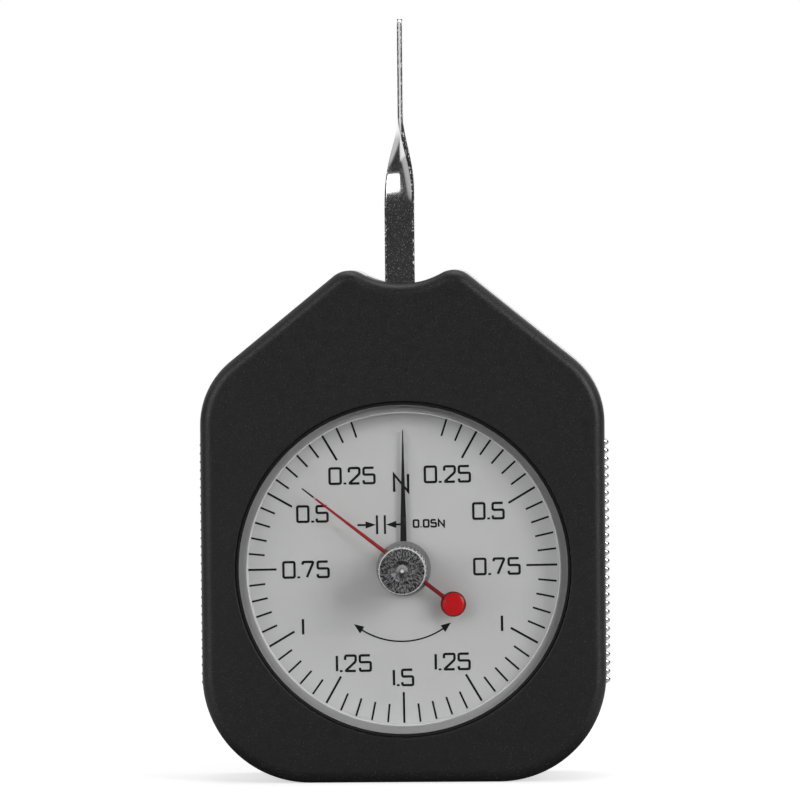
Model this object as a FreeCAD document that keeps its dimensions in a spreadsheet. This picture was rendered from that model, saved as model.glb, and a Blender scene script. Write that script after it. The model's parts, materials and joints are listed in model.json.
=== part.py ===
import FreeCAD, Part
import math
import os
import re

import Sketcher
from FreeCAD import Placement, Rotation, Vector

# A hand gauge for spring and contact forces. A chromed arm swings either way about a pivot behind the
# saddle at the top of the case. Its toothed sector turns a pinion, and the pinion's arbor carries the
# black pointer. A red pointer, turned by the knob in the middle of the crystal, keeps the highest
# reading. Millimetres. X is to the right, Y runs from the front of the case to its back, and Z is up
# from the flat base.

SIZES = {
    # Case outline, seen from the front
    "side_margin": 5.24,
    "bottom_radius": 16.5,
    "shoulder_rise": 22.2,
    "shoulder_radius": 12.6,
    "horn_offset": 8.0,
    "horn_rise": 10.7,
    "horn_radius": 3.68,
    "saddle_radius": 12.8,
    # Case shells
    "case_wall": 2.0,
    "front_lap": 0.8,
    "face_thickness": 2.2,
    "front_edge_radius": 1.8,
    "back_thickness": 2.0,
    "back_room": 3.6,
    "back_edge_bevel": 0.8,
    "boss_radius": 2.4,
    "boss_inset": 4.2,
    "arm_slot_side_gap": 0.25,
    "arm_slot_back_gap": 0.83,
    "arm_slot_height": 8.0,
    # Grip ribs along both sides of the grip body
    "rib_count": 29,
    "rib_pitch": 1.31,
    "rib_height": 0.6,
    "rib_foot": 1.1,
    "rib_crest": 0.4,
    "rib_drop": 1.5,
    "rib_margin": 0.7,
    # Window and dial
    "window_rise": 6.94,
    "window_radius": 25.76,
    "ring_flange": 1.5,
    "gasket_width": 0.56,
    "crystal_recess": 0.4,
    "crystal_thickness": 1.5,
    "crystal_bevel": 0.2,
    "crystal_hole_radius": 1.8,
    "gasket_recess": 0.6,
    "ring_width": 1.81,
    "pointer_dial_gap": 0.6,
    "ring_bevel": 0.25,
    "dial_thickness": 0.5,
    "dial_hole_radius": 1.2,
    "dial_foot_radius": 1.0,
    "dial_foot_height": 1.6,
    "dial_foot_reach": 18.0,
    # Movement plates
    "plate_thickness": 1.2,
    "plate_spacing": 7.0,
    "plate_neck_half_width": 7.0,
    "plate_neck_rise": 4.0,
    "ear_gap": 0.2,
    "pillar_flats": 3.2,
    "pillar_offset": 20.0,
    "pillar_rise": 16.3,
    "pillar_drop": 16.2,
    "pillar_side_edge": 2.5,
    "pillar_upper_edge": 7.0,
    "pillar_lower_edge": 4.5,
    "bush_radius": 2.0,
    "bush_stand": 0.4,
    # Arm, hub and spring
    "arm_length": 49.4,
    "arm_width": 4.6,
    "arm_thickness": 0.77,
    "arm_edge_bevel": 0.2,
    "arm_eye_radius": 4.4,
    "twist_start": 20.6,
    "twist_length": 13.6,
    "tip_radius": 1.4,
    "pivot_radius": 1.0,
    "pivot_stand": 0.6,
    "hub_radius": 2.2,
    "hub_flange_radius": 4.4,
    "hub_flange_thickness": 1.0,
    "hub_seat_side": 3.4,
    "spring_wire_radius": 0.5,
    "spring_turns": 1.5,
    "spring_pitch": 1.04,
    "spring_arm_gap": 0.97,
    "spring_leg_length": 12.6,
    "spring_pin_radius": 0.8,
    "drive_pin_drop": 8.3,
    "anchor_pin_drop": 11.4,
    # Sector and pinion
    "gear_module": 0.3,
    "pressure_angle": 20.0,
    "gear_backlash": 0.07,
    "pinion_teeth": 18,
    "sector_ratio": 12,
    "sector_teeth": 22,
    "sector_thickness": 1.0,
    "sector_gap": 0.5,
    "sector_rim": 2.4,
    "sector_spoke": 2.2,
    "sector_root_angle": 42.0,
    "pinion_width": 1.6,
    "arm_travel": 15.0,
    "stop_pin_radius": 0.7,
    "stop_share": 0.62,
    # Arbor, hairspring and black pointer
    "arbor_radius": 0.6,
    "arbor_stand": 0.6,
    "collet_radius": 1.3,
    "collet_width": 1.0,
    "collet_gap": 1.5,
    "hairspring_thickness": 0.14,
    "hairspring_width": 0.6,
    "hairspring_pitch": 1.7,
    "hairspring_half_turns": 5,
    "stud_radius": 0.6,
    "pointer_hub_radius": 4.2,
    "pointer_gap": 0.3,
    "pointer_hub_thickness": 0.5,
    "pointer_sleeve_radius": 1.1,
    "pointer_blade_thickness": 0.2,
    "pointer_tip_gap": 2.65,
    "pointer_root_width": 0.95,
    "pointer_tip_width": 0.16,
    "pointer_tail": 2.6,
    "drag_pin_radius": 0.25,
    "drag_pin_circle": 7.5,
    # Reset knob and red pointer
    "knob_radius": 3.75,
    "knob_face_radius": 3.5,
    "knob_height": 4.95,
    "knob_dimple_radius": 1.5,
    "knob_dimple_depth": 0.45,
    "knob_pip_radius": 0.3,
    "knob_groove_count": 32,
    "knob_groove_depth": 0.2,
    "knob_groove_width": 0.42,
    "knob_bore_share": 0.8,
    "spindle_radius": 0.75,
    "bush_head_radius": 2.6,
    "bush_head_thickness": 0.25,
    "washer_radius": 2.4,
    "washer_thickness": 0.2,
    "clip_radius": 1.7,
    "clip_thickness": 0.3,
    "clip_mouth": 1.0,
    "peak_hub_radius": 1.5,
    "peak_hub_thickness": 0.95,
    "peak_flange_thickness": 0.35,
    "peak_angle": 52.2,
    "peak_tip_gap": 4.45,
    "peak_root_width": 0.72,
    "peak_tip_width": 0.18,
    "peak_blade_thickness": 0.22,
    "peak_ridge": 0.16,
    "peak_tail": 9.8,
    "counterweight_radius": 1.95,
    "counterweight_thickness": 0.7,
    "counterweight_dome": 0.3,
    # Clearances
    "fixed_clearance": 0.02,
    "running_clearance": 0.05,
    "end_float": 0.1,
    "drag_clearance": 0.15,
}

# Heights, radii and depths that follow from the sizes. A depth is measured back from the front face.
PLACES = {
    "half_width": "window_radius + side_margin",
    "dial_height": "window_rise + window_radius",
    "pinion_radius": "gear_module * pinion_teeth / 2",
    "sector_radius": "pinion_radius * sector_ratio",
    "pivot_height": "dial_height + pinion_radius + sector_radius",
    "shoulder_height": "dial_height + shoulder_rise",
    "horn_height": "pivot_height + horn_rise",
    "horn_centre_height": "horn_height - horn_radius",
    "flat_half_width": "half_width - bottom_radius",
    "lower_boss_reach": "(bottom_radius - boss_inset) * cos(45)",
    "upper_boss_reach": "(shoulder_radius - boss_inset) * cos(45)",
    "lower_boss_x": "flat_half_width + lower_boss_reach",
    "lower_boss_z": "bottom_radius - lower_boss_reach",
    "upper_boss_x": "half_width - shoulder_radius + upper_boss_reach",
    "upper_boss_z": "shoulder_height + upper_boss_reach",
    "ear_radius": "boss_inset - case_wall - ear_gap",
    "rib_start": "bottom_radius - rib_drop",
    "crystal_radius": "window_radius - gasket_width",
    "ring_inner_radius": "window_radius - ring_width",
    "pointer_length": "ring_inner_radius - pointer_tip_gap",
    "peak_length": "ring_inner_radius - peak_tip_gap",
    "crystal_back": "crystal_recess + crystal_thickness",
    "knob_back": "crystal_recess - bush_head_thickness - washer_thickness - running_clearance",
    "knob_front": "knob_back - knob_height",
    "clip_front": "crystal_back + running_clearance",
    "clip_back": "clip_front + clip_thickness",
    "peak_hub_depth": "clip_back + end_float",
    "peak_hub_back": "peak_hub_depth + peak_hub_thickness",
    "peak_blade_front": "peak_hub_depth + peak_flange_thickness",
    "peak_blade_back": "peak_blade_front + peak_blade_thickness",
    "pointer_hub_depth": "peak_hub_back + pointer_gap",
    "pointer_blade_front": "pointer_hub_depth + pointer_hub_thickness",
    "pointer_blade_back": "pointer_blade_front + pointer_blade_thickness",
    "dial_front": "pointer_blade_back + pointer_dial_gap",
    "dial_back": "dial_front + dial_thickness",
    "front_plate_depth": "dial_back + dial_foot_height",
    "front_plate_back": "front_plate_depth + plate_thickness",
    "front_depth": "front_plate_back + front_lap",
    "rear_plate_front": "front_plate_back + plate_spacing",
    "rear_plate_back": "rear_plate_front + plate_thickness",
    "back_depth": "rear_plate_back + back_room",
    "body_depth": "back_depth + back_thickness",
    "half_depth": "body_depth / 2",
    "plate_half_width": "pillar_offset + pillar_side_edge",
    "pillar_top": "dial_height + pillar_rise",
    "pillar_bottom": "dial_height - pillar_drop",
    "plate_top": "pillar_top + pillar_upper_edge",
    "plate_bottom": "pillar_bottom - pillar_lower_edge",
    "plate_neck_top": "pivot_height + plate_neck_rise",
    "hub_front": "front_plate_back + end_float",
    "hub_back": "rear_plate_front - end_float",
    "sector_front": "hub_front + sector_gap",
    "flange_front": "sector_front + sector_thickness",
    "arm_depth": "flange_front + hub_flange_thickness",
    "arm_back": "arm_depth + arm_thickness",
    "arm_slot_width": "arm_width / cos(arm_travel) + (horn_rise * tan(arm_travel) + arm_slot_side_gap) * 2",
    "arm_slot_depth": "arm_back + arm_slot_back_gap - front_depth",
    "spring_mean_radius": "hub_radius + running_clearance * 4 + spring_wire_radius",
    "spring_front": "arm_back + spring_arm_gap",
    "pinion_front": "hub_front + end_float",
    "collet_depth": "rear_plate_front - collet_gap - collet_width",
}

doc = FreeCAD.newDocument("dial_tension_meter")
sheet = doc.addObject("Spreadsheet::Sheet", "Size")
for row, (alias, number) in enumerate(SIZES.items(), 1):
    sheet.set("A%d" % row, alias)
    sheet.set("B%d" % row, str(number))
    sheet.setAlias("B%d" % row, alias)
doc.recompute()

subparts = []


def expand(text):
    """Write a formula of size and place names out as an expression on the sheet."""

    def swap(match):
        word = match.group()
        if word in SIZES:
            return "Size." + word
        if word in PLACES:
            return "(" + expand(PLACES[word]) + ")"
        return word

    return re.sub("[a-z][a-z_]+", swap, text)


def value(text):
    return float(sheet.evalExpression(expand(text)))


# Builders for bodies, sketches and features


def facing(thing, x="0", z="0"):
    """Place a sub-part so that its own XY plane is the front face and its own Z points at the reader."""
    spot = Vector(value(x), -value("half_depth"), value(z))
    thing.Placement = Placement(spot, Rotation(Vector(1, 0, 0), 90))
    thing.setExpression("Placement.Base.x", expand(x))
    thing.setExpression("Placement.Base.y", expand("-half_depth"))
    thing.setExpression("Placement.Base.z", expand(z))


def new_body(name, x="0", z="0"):
    body = doc.addObject("PartDesign::Body", name)
    body.Label = name
    facing(body, x, z)
    subparts.append(body)
    return body


def new_solid(name, shape, x="0", z="0"):
    """Hold a shape made with solid functions, in the same front-face frame as the bodies."""
    solid = doc.addObject("Part::Feature", name)
    solid.Label = name
    solid.Shape = shape
    facing(solid, x, z)
    subparts.append(solid)
    return solid


def new_sketch(body, name, depth="0", role="XY_Plane"):
    sketch = body.newObject("Sketcher::SketchObject", name)
    plane = next(item for item in body.Origin.OriginFeatures if item.Role == role)
    sketch.AttachmentSupport = (plane, [""])
    sketch.MapMode = "FlatFace"
    if role == "XY_Plane":
        sketch.setExpression("AttachmentOffset.Base.z", expand("-(" + depth + ")"))
    return sketch


def pin_down(sketch, kind, geometry, formula):
    """Add one dimension to a sketch and bind it to its formula."""
    index = sketch.addConstraint(Sketcher.Constraint(kind, *geometry, value(formula)))
    sketch.setExpression("Constraints[%d]" % index, expand(formula))


def polygon(sketch, corners):
    """Closed straight-sided outline through corners given as pairs of formulas."""
    first = sketch.GeometryCount
    count = len(corners)
    spots = [Vector(value(across), value(up), 0) for across, up in corners]
    for index in range(count):
        sketch.addGeometry(Part.LineSegment(spots[index], spots[(index + 1) % count]))
    for index, (across, up) in enumerate(corners):
        edge = first + index
        sketch.addConstraint(Sketcher.Constraint("Coincident", edge, 2, first + (index + 1) % count, 1))
        pin_down(sketch, "DistanceX", (-1, 1, edge, 1), across)
        pin_down(sketch, "DistanceY", (-1, 1, edge, 1), up)


def circle(sketch, across, up, radius):
    centre = Vector(value(across), value(up), 0)
    index = sketch.addGeometry(Part.Circle(centre, Vector(0, 0, 1), value(radius)))
    pin_down(sketch, "DistanceX", (-1, 1, index, 3), across)
    pin_down(sketch, "DistanceY", (-1, 1, index, 3), up)
    pin_down(sketch, "Radius", (index,), radius)


def arc(centre, radius, start, end):
    whole = Part.Circle(centre, Vector(0, 0, 1), radius)
    return Part.ArcOfCircle(whole, start, end)


def case_outline(sketch, inset="0"):
    """The case seen from the front: base, sides, slopes and the two horns beside the saddle.

    Every corner is an arc that runs smoothly into its neighbours. An inset moves the whole line inwards.
    """
    first = sketch.GeometryCount
    shift = value(inset)
    side = value("half_width") - shift
    flat = value("flat_half_width")
    bottom = value("bottom_radius")
    shoulder = Vector(value("half_width - shoulder_radius"), value("shoulder_height"), 0)
    horn = Vector(value("horn_offset"), value("horn_centre_height"), 0)
    shoulder_radius = value("shoulder_radius")
    horn_radius = value("horn_radius")
    rise = math.sqrt((value("saddle_radius") + horn_radius) ** 2 - horn.x**2)
    saddle = Vector(0, horn.y + rise, 0)
    run = horn - shoulder
    slope = math.atan2(run.y, run.x) - math.acos((shoulder_radius - horn_radius) / run.Length)
    dip = math.atan2(rise, -horn.x)

    def on(centre, radius, angle):
        return centre + Vector(math.cos(angle), math.sin(angle), 0) * (radius - shift)

    def left(point):
        return Vector(-point.x, point.y, 0)

    upper = on(shoulder, shoulder_radius, slope)
    lower = on(horn, horn_radius, slope)
    parts = [
        Part.LineSegment(Vector(-flat, shift, 0), Vector(flat, shift, 0)),
        arc(Vector(flat, bottom, 0), bottom - shift, -math.pi / 2, 0),
        Part.LineSegment(Vector(side, bottom, 0), Vector(side, shoulder.y, 0)),
        arc(shoulder, shoulder_radius - shift, 0, slope),
        Part.LineSegment(upper, lower),
        arc(horn, horn_radius - shift, slope, dip),
        arc(saddle, value("saddle_radius") + shift, -dip, dip - math.pi),
        arc(left(horn), horn_radius - shift, math.pi - dip, math.pi - slope),
        Part.LineSegment(left(lower), left(upper)),
        arc(left(shoulder), shoulder_radius - shift, math.pi - slope, math.pi),
        Part.LineSegment(Vector(-side, shoulder.y, 0), Vector(-side, bottom, 0)),
        arc(Vector(-flat, bottom, 0), bottom - shift, math.pi, 1.5 * math.pi),
    ]
    for part in parts:
        sketch.addGeometry(part)
    edges = range(first, first + len(parts))
    base, corner, wall, shoulder_arc, slope_line, horn_arc, saddle_arc = edges[:7]
    left_horn, left_slope, left_shoulder, left_wall, left_corner = edges[7:]
    right = [base, corner, wall, shoulder_arc, slope_line, horn_arc]
    across = [left_horn, left_slope, left_shoulder, left_wall, left_corner, base]
    meetings = [(one, 2, other, 1) for one, other in zip(right, right[1:])]
    meetings += [(horn_arc, 2, saddle_arc, 2), (saddle_arc, 1, left_horn, 1)]
    meetings += [(one, 2, other, 1) for one, other in zip(across, across[1:])]
    for meeting in meetings:
        sketch.addConstraint(Sketcher.Constraint("Tangent", *meeting))
    sketch.addConstraint(Sketcher.Constraint("Horizontal", base))
    sketch.addConstraint(Sketcher.Constraint("Vertical", wall))
    sketch.addConstraint(Sketcher.Constraint("Vertical", left_wall))
    pin_down(sketch, "DistanceY", (-1, 1, base, 1), inset)
    for edge, sign in ((wall, ""), (left_wall, "-")):
        pin_down(sketch, "DistanceX", (-1, 1, edge, 1), sign + "(half_width - (%s))" % inset)
    radii = {corner: "bottom_radius", shoulder_arc: "shoulder_radius", horn_arc: "horn_radius"}
    radii.update({left_corner: "bottom_radius", left_shoulder: "shoulder_radius", left_horn: "horn_radius"})
    for edge, radius in radii.items():
        pin_down(sketch, "Radius", (edge,), "%s - (%s)" % (radius, inset))
    pin_down(sketch, "Radius", (saddle_arc,), "saddle_radius + (%s)" % inset)
    for edge, sign in ((horn_arc, ""), (left_horn, "-")):
        pin_down(sketch, "DistanceX", (-1, 1, edge, 3), sign + "horn_offset")
        pin_down(sketch, "DistanceY", (-1, 1, edge, 3), "horn_centre_height")
    for edge in (shoulder_arc, left_shoulder):
        pin_down(sketch, "DistanceY", (-1, 1, edge, 3), "shoulder_height")


def boss_circles(sketch, radius):
    """One circle in each of the case's four corners, where the shells bear on each other."""
    for side in ("", "-"):
        circle(sketch, side + "lower_boss_x", "lower_boss_z", radius)
        circle(sketch, side + "upper_boss_x", "upper_boss_z", radius)


def pad(body, sketch, thickness):
    """Fill a sketch towards the front by a thickness."""
    feature = body.newObject("PartDesign::Pad", sketch.Name + "_pad")
    feature.Profile = sketch
    feature.setExpression("Length", expand(thickness))
    body.Tip = feature
    return feature


def pocket(body, sketch, depth, forwards=False):
    """Cut a sketch out towards the back by a depth, or towards the front."""
    feature = body.newObject("PartDesign::Pocket", sketch.Name + "_cut")
    feature.Profile = sketch
    feature.Reversed = forwards
    feature.setExpression("Length", expand(depth))
    body.Tip = feature
    return feature


def turned(name, corners, x="0", z="0"):
    """A turned piece. Its profile corners are pairs of radius and depth from the front face."""
    body = new_body(name, x, z)
    sketch = new_sketch(body, name + "_profile", role="XZ_Plane")
    polygon(sketch, [(radius, "-(%s)" % depth) for radius, depth in corners])
    feature = body.newObject("PartDesign::Revolution", name + "_turned")
    feature.Profile = sketch
    feature.ReferenceAxis = (sketch, ["V_Axis"])
    feature.Angle = 360
    body.Tip = feature
    return body


def tube(inner, outer, front, back):
    """Profile corners of a plain ring between two depths."""
    return [(inner, front), (outer, front), (outer, back), (inner, back)]


def edges_at(feature, height):
    """Names of the edges that lie in one plane across the body's own Z."""
    doc.recompute()
    names = []
    for index, edge in enumerate(feature.Shape.Edges, 1):
        box = edge.BoundBox
        if max(abs(box.ZMin - height), abs(box.ZMax - height)) < 1e-6:
            names.append("Edge%d" % index)
    return names


def round_edges(body, feature, names, radius):
    fillet = body.newObject("PartDesign::Fillet", body.Name + "_rounding")
    fillet.Base = (feature, names)
    fillet.setExpression("Radius", expand(radius))
    body.Tip = fillet
    return fillet


def spun(corners, up=0.0):
    """A solid of revolution about an axis across the front view: pairs of radius and depth."""
    points = [Vector(radius, up, -depth) for radius, depth in corners]
    face = Part.Face(Part.makePolygon(points + points[:1]))
    return face.revolve(Vector(0, up, 0), Vector(0, 0, 1), 360)


def rod(radius, front, back, x=0.0, z=0.0):
    """A plain round bar between two depths."""
    return Part.makeCylinder(radius, back - front, Vector(x, z, -back), Vector(0, 0, 1))


def slab(points, front, back):
    """A flat piece with a straight-sided outline, between two depths."""
    corners = [Vector(point[0], point[1], -back) for point in points]
    face = Part.Face(Part.makePolygon(corners + corners[:1]))
    return face.extrude(Vector(0, 0, back - front))


def copies(shape, spots):
    """Separate copies of a shape at several points of the front view."""
    placed = []
    for across, up in spots:
        copy = shape.copy()
        copy.translate(Vector(across, up, 0))
        placed.append(copy)
    return Part.makeCompound(placed)


# Case shells


def front_case():
    """Black front shell with a round window and four bosses that carry the movement."""
    body = new_body("front_case")
    block = new_sketch(body, "front_block", "front_depth")
    case_outline(block)
    solid = pad(body, block, "front_depth")
    round_edges(body, solid, edges_at(solid, 0), "front_edge_radius")
    cavity = new_sketch(body, "front_cavity", "front_depth")
    case_outline(cavity, "case_wall")
    pocket(body, cavity, "front_depth - face_thickness", forwards=True)
    bosses = new_sketch(body, "front_bosses", "front_plate_depth")
    boss_circles(bosses, "boss_radius")
    pad(body, bosses, "front_plate_depth - face_thickness")
    window = new_sketch(body, "front_window")
    circle(window, "0", "dial_height", "window_radius")
    pocket(body, window, "front_depth")


def grip_body():
    """Chromed middle shell: an open band with ribbed sides, four bosses and the arm's slot."""
    body = new_body("grip_body")
    band = new_sketch(body, "grip_band", "back_depth")
    case_outline(band)
    case_outline(band, "case_wall")
    pad(body, band, "back_depth - front_depth")
    bosses = new_sketch(body, "grip_bosses", "back_depth")
    boss_circles(bosses, "boss_radius")
    pad(body, bosses, "back_depth - front_depth")
    spigots = new_sketch(body, "grip_spigots", "front_depth")
    boss_circles(spigots, "ear_radius")
    pad(body, spigots, "front_depth - front_plate_back")
    slot = new_sketch(body, "grip_arm_slot", "front_depth")
    low = "horn_height - arm_slot_height"
    high = "horn_height + arm_slot_height"
    half = "arm_slot_width / 2"
    polygon(slot, [("-" + half, low), (half, low), (half, high), ("-" + half, high)])
    pocket(body, slot, "arm_slot_depth")
    rib = new_sketch(body, "grip_rib", "back_depth - rib_margin")
    for side in ("", "-"):
        rib_profile(rib, side)
    first = pad(body, rib, "back_depth - front_depth - rib_margin * 2")
    row_of_ribs = body.newObject("PartDesign::LinearPattern", "grip_ribs")
    row_of_ribs.Originals = [first]
    upwards = next(item for item in body.Origin.OriginFeatures if item.Role == "Y_Axis")
    row_of_ribs.Direction = (upwards, [""])
    row_of_ribs.setExpression("Length", expand("rib_pitch * (rib_count - 1)"))
    row_of_ribs.setExpression("Occurrences", expand("rib_count"))
    body.Tip = row_of_ribs


def rib_profile(sketch, side):
    """One rib in section, rooted just inside the wall: two flanks and a narrow crest."""
    root = side + "(half_width - rib_height / 2)"
    foot = side + "half_width"
    crest = side + "(half_width + rib_height)"
    heights = [("rib_start - rib_foot / 2", "rib_start - rib_crest / 2")]
    heights.append(("rib_start + rib_foot / 2", "rib_start + rib_crest / 2"))
    (low, low_crest), (high, high_crest) = heights
    corners = [(root, low), (foot, low), (crest, low_crest), (crest, high_crest), (foot, high), (root, high)]
    polygon(sketch, corners)


def back_cover():
    """Flat back plate with a bevel all round its outer edge."""
    body = new_body("back_cover")
    plate = new_sketch(body, "back_plate", "body_depth")
    case_outline(plate)
    solid = pad(body, plate, "back_thickness")
    bevel = body.newObject("PartDesign::Chamfer", "back_bevel")
    bevel.Base = (solid, edges_at(solid, -value("body_depth")))
    bevel.setExpression("Size", expand("back_edge_bevel"))
    body.Tip = bevel


# Window and dial


def window_and_dial():
    """Crystal, its gasket, the grey ring behind it and the dial with its feet."""
    edge = "crystal_radius - crystal_bevel"
    face = "crystal_recess + crystal_bevel"
    profile = [("crystal_hole_radius", "crystal_recess"), (edge, "crystal_recess"), ("crystal_radius", face)]
    profile += [("crystal_radius", "crystal_back"), ("crystal_hole_radius", "crystal_back")]
    turned("crystal", profile, z="dial_height")
    inner = "crystal_radius + fixed_clearance"
    outer = "window_radius - fixed_clearance"
    turned("crystal_gasket", tube(inner, outer, "gasket_recess", "crystal_back"), z="dial_height")
    inner = "ring_inner_radius"
    bevelled = "ring_inner_radius + ring_bevel"
    flange = "window_radius + ring_flange"
    seat = "face_thickness + fixed_clearance"
    profile = [(bevelled, "crystal_back"), (outer, "crystal_back"), (outer, seat), (flange, seat)]
    profile += [(flange, "dial_front"), (inner, "dial_front")]
    profile.append((inner, "crystal_back + ring_bevel"))
    turned("dial_ring", profile, z="dial_height")
    turned("dial_plate", tube("dial_hole_radius", flange, "dial_front", "dial_back"), z="dial_height")
    foot = rod(value("dial_foot_radius"), value("dial_back"), value("front_plate_depth"))
    reach = value("dial_foot_reach")
    new_solid("dial_feet", copies(foot, [(-reach, 0), (reach, 0)]), z="dial_height")


# Movement frame


def plate_outline(sketch):
    """Both movement plates: a broad plate with a neck that reaches up to the arm's pivot."""
    wide = "plate_half_width"
    neck = "plate_neck_half_width"
    corners = [(wide, "plate_bottom"), (wide, "plate_top"), (neck, "plate_top"), (neck, "plate_neck_top")]
    mirrored = [("-" + across, up) for across, up in reversed(corners)]
    polygon(sketch, corners + mirrored)
    circle(sketch, "0", "pivot_height", "pivot_radius + fixed_clearance")
    circle(sketch, "0", "dial_height", "bush_radius + fixed_clearance")


def pillar_spots():
    """Three pillars: one on each side above the dial's middle and one below it."""
    side = value("pillar_offset")
    top = value("pillar_top")
    return [(-side, top), (side, top), (0, value("pillar_bottom"))]


def movement_frame():
    """Front plate held between the case's bosses, rear plate and the hexagonal pillars between them."""
    body = new_body("front_plate")
    sketch = new_sketch(body, "front_plate_shape", "front_plate_back")
    plate_outline(sketch)
    pad(body, sketch, "plate_thickness")
    for side in ("", "-"):
        ear(body, side, "lower", "plate_bottom", "+")
        ear(body, side, "upper", "plate_top", "-")

    body = new_body("rear_plate")
    sketch = new_sketch(body, "rear_plate_shape", "rear_plate_back")
    plate_outline(sketch)
    pad(body, sketch, "plate_thickness")
    hole = new_sketch(body, "anchor_hole", "rear_plate_front")
    circle(hole, "0", "pivot_height - anchor_pin_drop", "spring_pin_radius + fixed_clearance")
    pocket(body, hole, "plate_thickness")

    front = value("front_plate_back")
    back = value("rear_plate_front")
    corner = value("pillar_flats") / math.sqrt(3)
    turns = [math.radians(60 * index) for index in range(6)]
    hexagon = [(corner * math.cos(turn), corner * math.sin(turn)) for turn in turns]
    new_solid("plate_pillars", copies(slab(hexagon, front, back), pillar_spots()))


def ear(body, side, spot, root, inwards):
    """A lug of the front plate out to one boss of the case: a web from the plate and a round end."""
    name = "%s_%s_ear" % (spot, "left" if side else "right")
    across = side + spot + "_boss_x"
    up = spot + "_boss_z"
    inner = side + "(plate_half_width - ear_radius * 2)"
    outer = side + "plate_half_width"
    seat = "%s %s ear_radius" % (root, inwards)
    web = new_sketch(body, name + "_web", "front_plate_back")
    polygon(web, [(inner, seat), (outer, seat), (across + " + " + side + "ear_radius", up), (inner, up)])
    pad(body, web, "plate_thickness")
    end = new_sketch(body, name + "_end", "front_plate_back")
    circle(end, across, up, "ear_radius")
    pad(body, end, "plate_thickness")


def arbor_bushes():
    """Plain bearings for the pointer arbor, pressed into the plates and proud of their outer sides."""
    bore = "arbor_radius + running_clearance"
    stand = "bush_stand"
    front = tube(bore, "bush_radius", "front_plate_depth - " + stand, "front_plate_back")
    turned("front_bush", front, z="dial_height")
    rear = tube(bore, "bush_radius", "rear_plate_front", "rear_plate_back + " + stand)
    turned("rear_bush", rear, z="dial_height")


# Arm and spring


def arm_section():
    """Cross-section of the strip with bevelled edges, centred on its own origin."""
    bevel = value("arm_edge_bevel")
    wide = value("arm_width") / 2
    deep = value("arm_thickness") / 2
    quarter = [(wide, deep - bevel), (wide - bevel, deep)]
    upper = quarter + [(-across, along) for across, along in reversed(quarter)]
    points = [Vector(across, along, 0) for across, along in upper + [(-a, -b) for a, b in upper]]
    return Part.makePolygon(points + points[:1])


def strip(lengthwise):
    """The strip's section stood on the arm's length: each item is a distance and a twist in degrees."""
    sections = []
    for distance, twist in lengthwise:
        section = arm_section()
        section.rotate(Vector(0, 0, 0), Vector(0, 0, 1), twist)
        section.rotate(Vector(0, 0, 0), Vector(1, 0, 0), -90)
        section.translate(Vector(0, distance, -value("arm_depth + arm_thickness / 2")))
        sections.append(section)
    return Part.makeLoft(sections, True, len(sections) == 2)


def measuring_arm():
    """Chromed strip with an eye on the hub, a quarter twist and an edge-on working end."""
    start = value("twist_start")
    end = start + value("twist_length")
    steps = 6
    twisted = [(start + (end - start) * i / steps, 90.0 * i / steps) for i in range(steps + 1)]
    length = value("arm_length")
    flat = strip([(0, 0), (start, 0)])
    straight = strip([(end, 90), (length, 90)])
    eye = rod(value("arm_eye_radius"), value("arm_depth"), value("arm_back"))
    shape = flat.fuse([strip(twisted), straight, eye])
    shape = shape.cut(hub_seat(value("arm_depth"), value("arm_back"), "fixed_clearance"))
    shape = shape.cut(tip_corners(length))
    new_solid("measuring_arm", shape, z="pivot_height")


def tip_corners(length):
    """What comes off the end of the strip so that its two corners are round, seen from the side."""
    radius = value("tip_radius")
    half = value("arm_width") / 2
    middle = value("arm_depth + arm_thickness / 2")
    wide = value("arm_thickness")
    block = Part.makeBox(wide * 2, radius * 2, half * 4, Vector(-wide, length - radius, -middle - half * 2))
    kept = Part.makeBox(wide * 2, radius * 4, (half - radius) * 2)
    kept.translate(Vector(-wide, length - radius * 2, -middle - half + radius))
    for side in (-1, 1):
        centre = Vector(-wide, length - radius, -middle + side * (half - radius))
        kept = kept.fuse(Part.makeCylinder(radius, wide * 2, centre, Vector(1, 0, 0)))
    return block.cut(kept)


def hub_seat(front, back, gap="0"):
    """Square bar that carries the sector and the arm on the hub, or its hole with a gap all round."""
    half = value("hub_seat_side / 2 + (%s)" % gap)
    return slab([(half, -half), (half, half), (-half, half), (-half, -half)], front, back)


def arm_hub():
    """Sleeve with a flange between two square seats, one for the sector and one for the arm."""
    sleeve = value("hub_radius")
    sector = value("sector_front")
    arm = value("arm_back")
    shape = rod(sleeve, value("hub_front"), sector).fuse(rod(sleeve, arm, value("hub_back")))
    shape = shape.fuse([rod(value("hub_flange_radius"), value("flange_front"), value("arm_depth"))])
    shape = shape.fuse(hub_seat(sector, arm))
    bore = rod(value("pivot_radius + running_clearance"), value("hub_front"), value("hub_back"))
    new_solid("arm_hub", shape.cut(bore), z="pivot_height")


def spring_legs():
    """Centre lines of the spring's two straight legs, as pairs of end points in the front view."""
    radius = value("spring_mean_radius")
    reach = value("spring_leg_length")
    side = value("spring_pin_radius + spring_wire_radius + fixed_clearance")
    front = value("spring_front + spring_wire_radius")
    back = front + value("spring_pitch * spring_turns")
    return [
        (Vector(-radius, 0, -front), Vector(-side, -reach, -front)),
        (Vector(radius, 0, -back), Vector(side, -reach, -back)),
    ]


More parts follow.
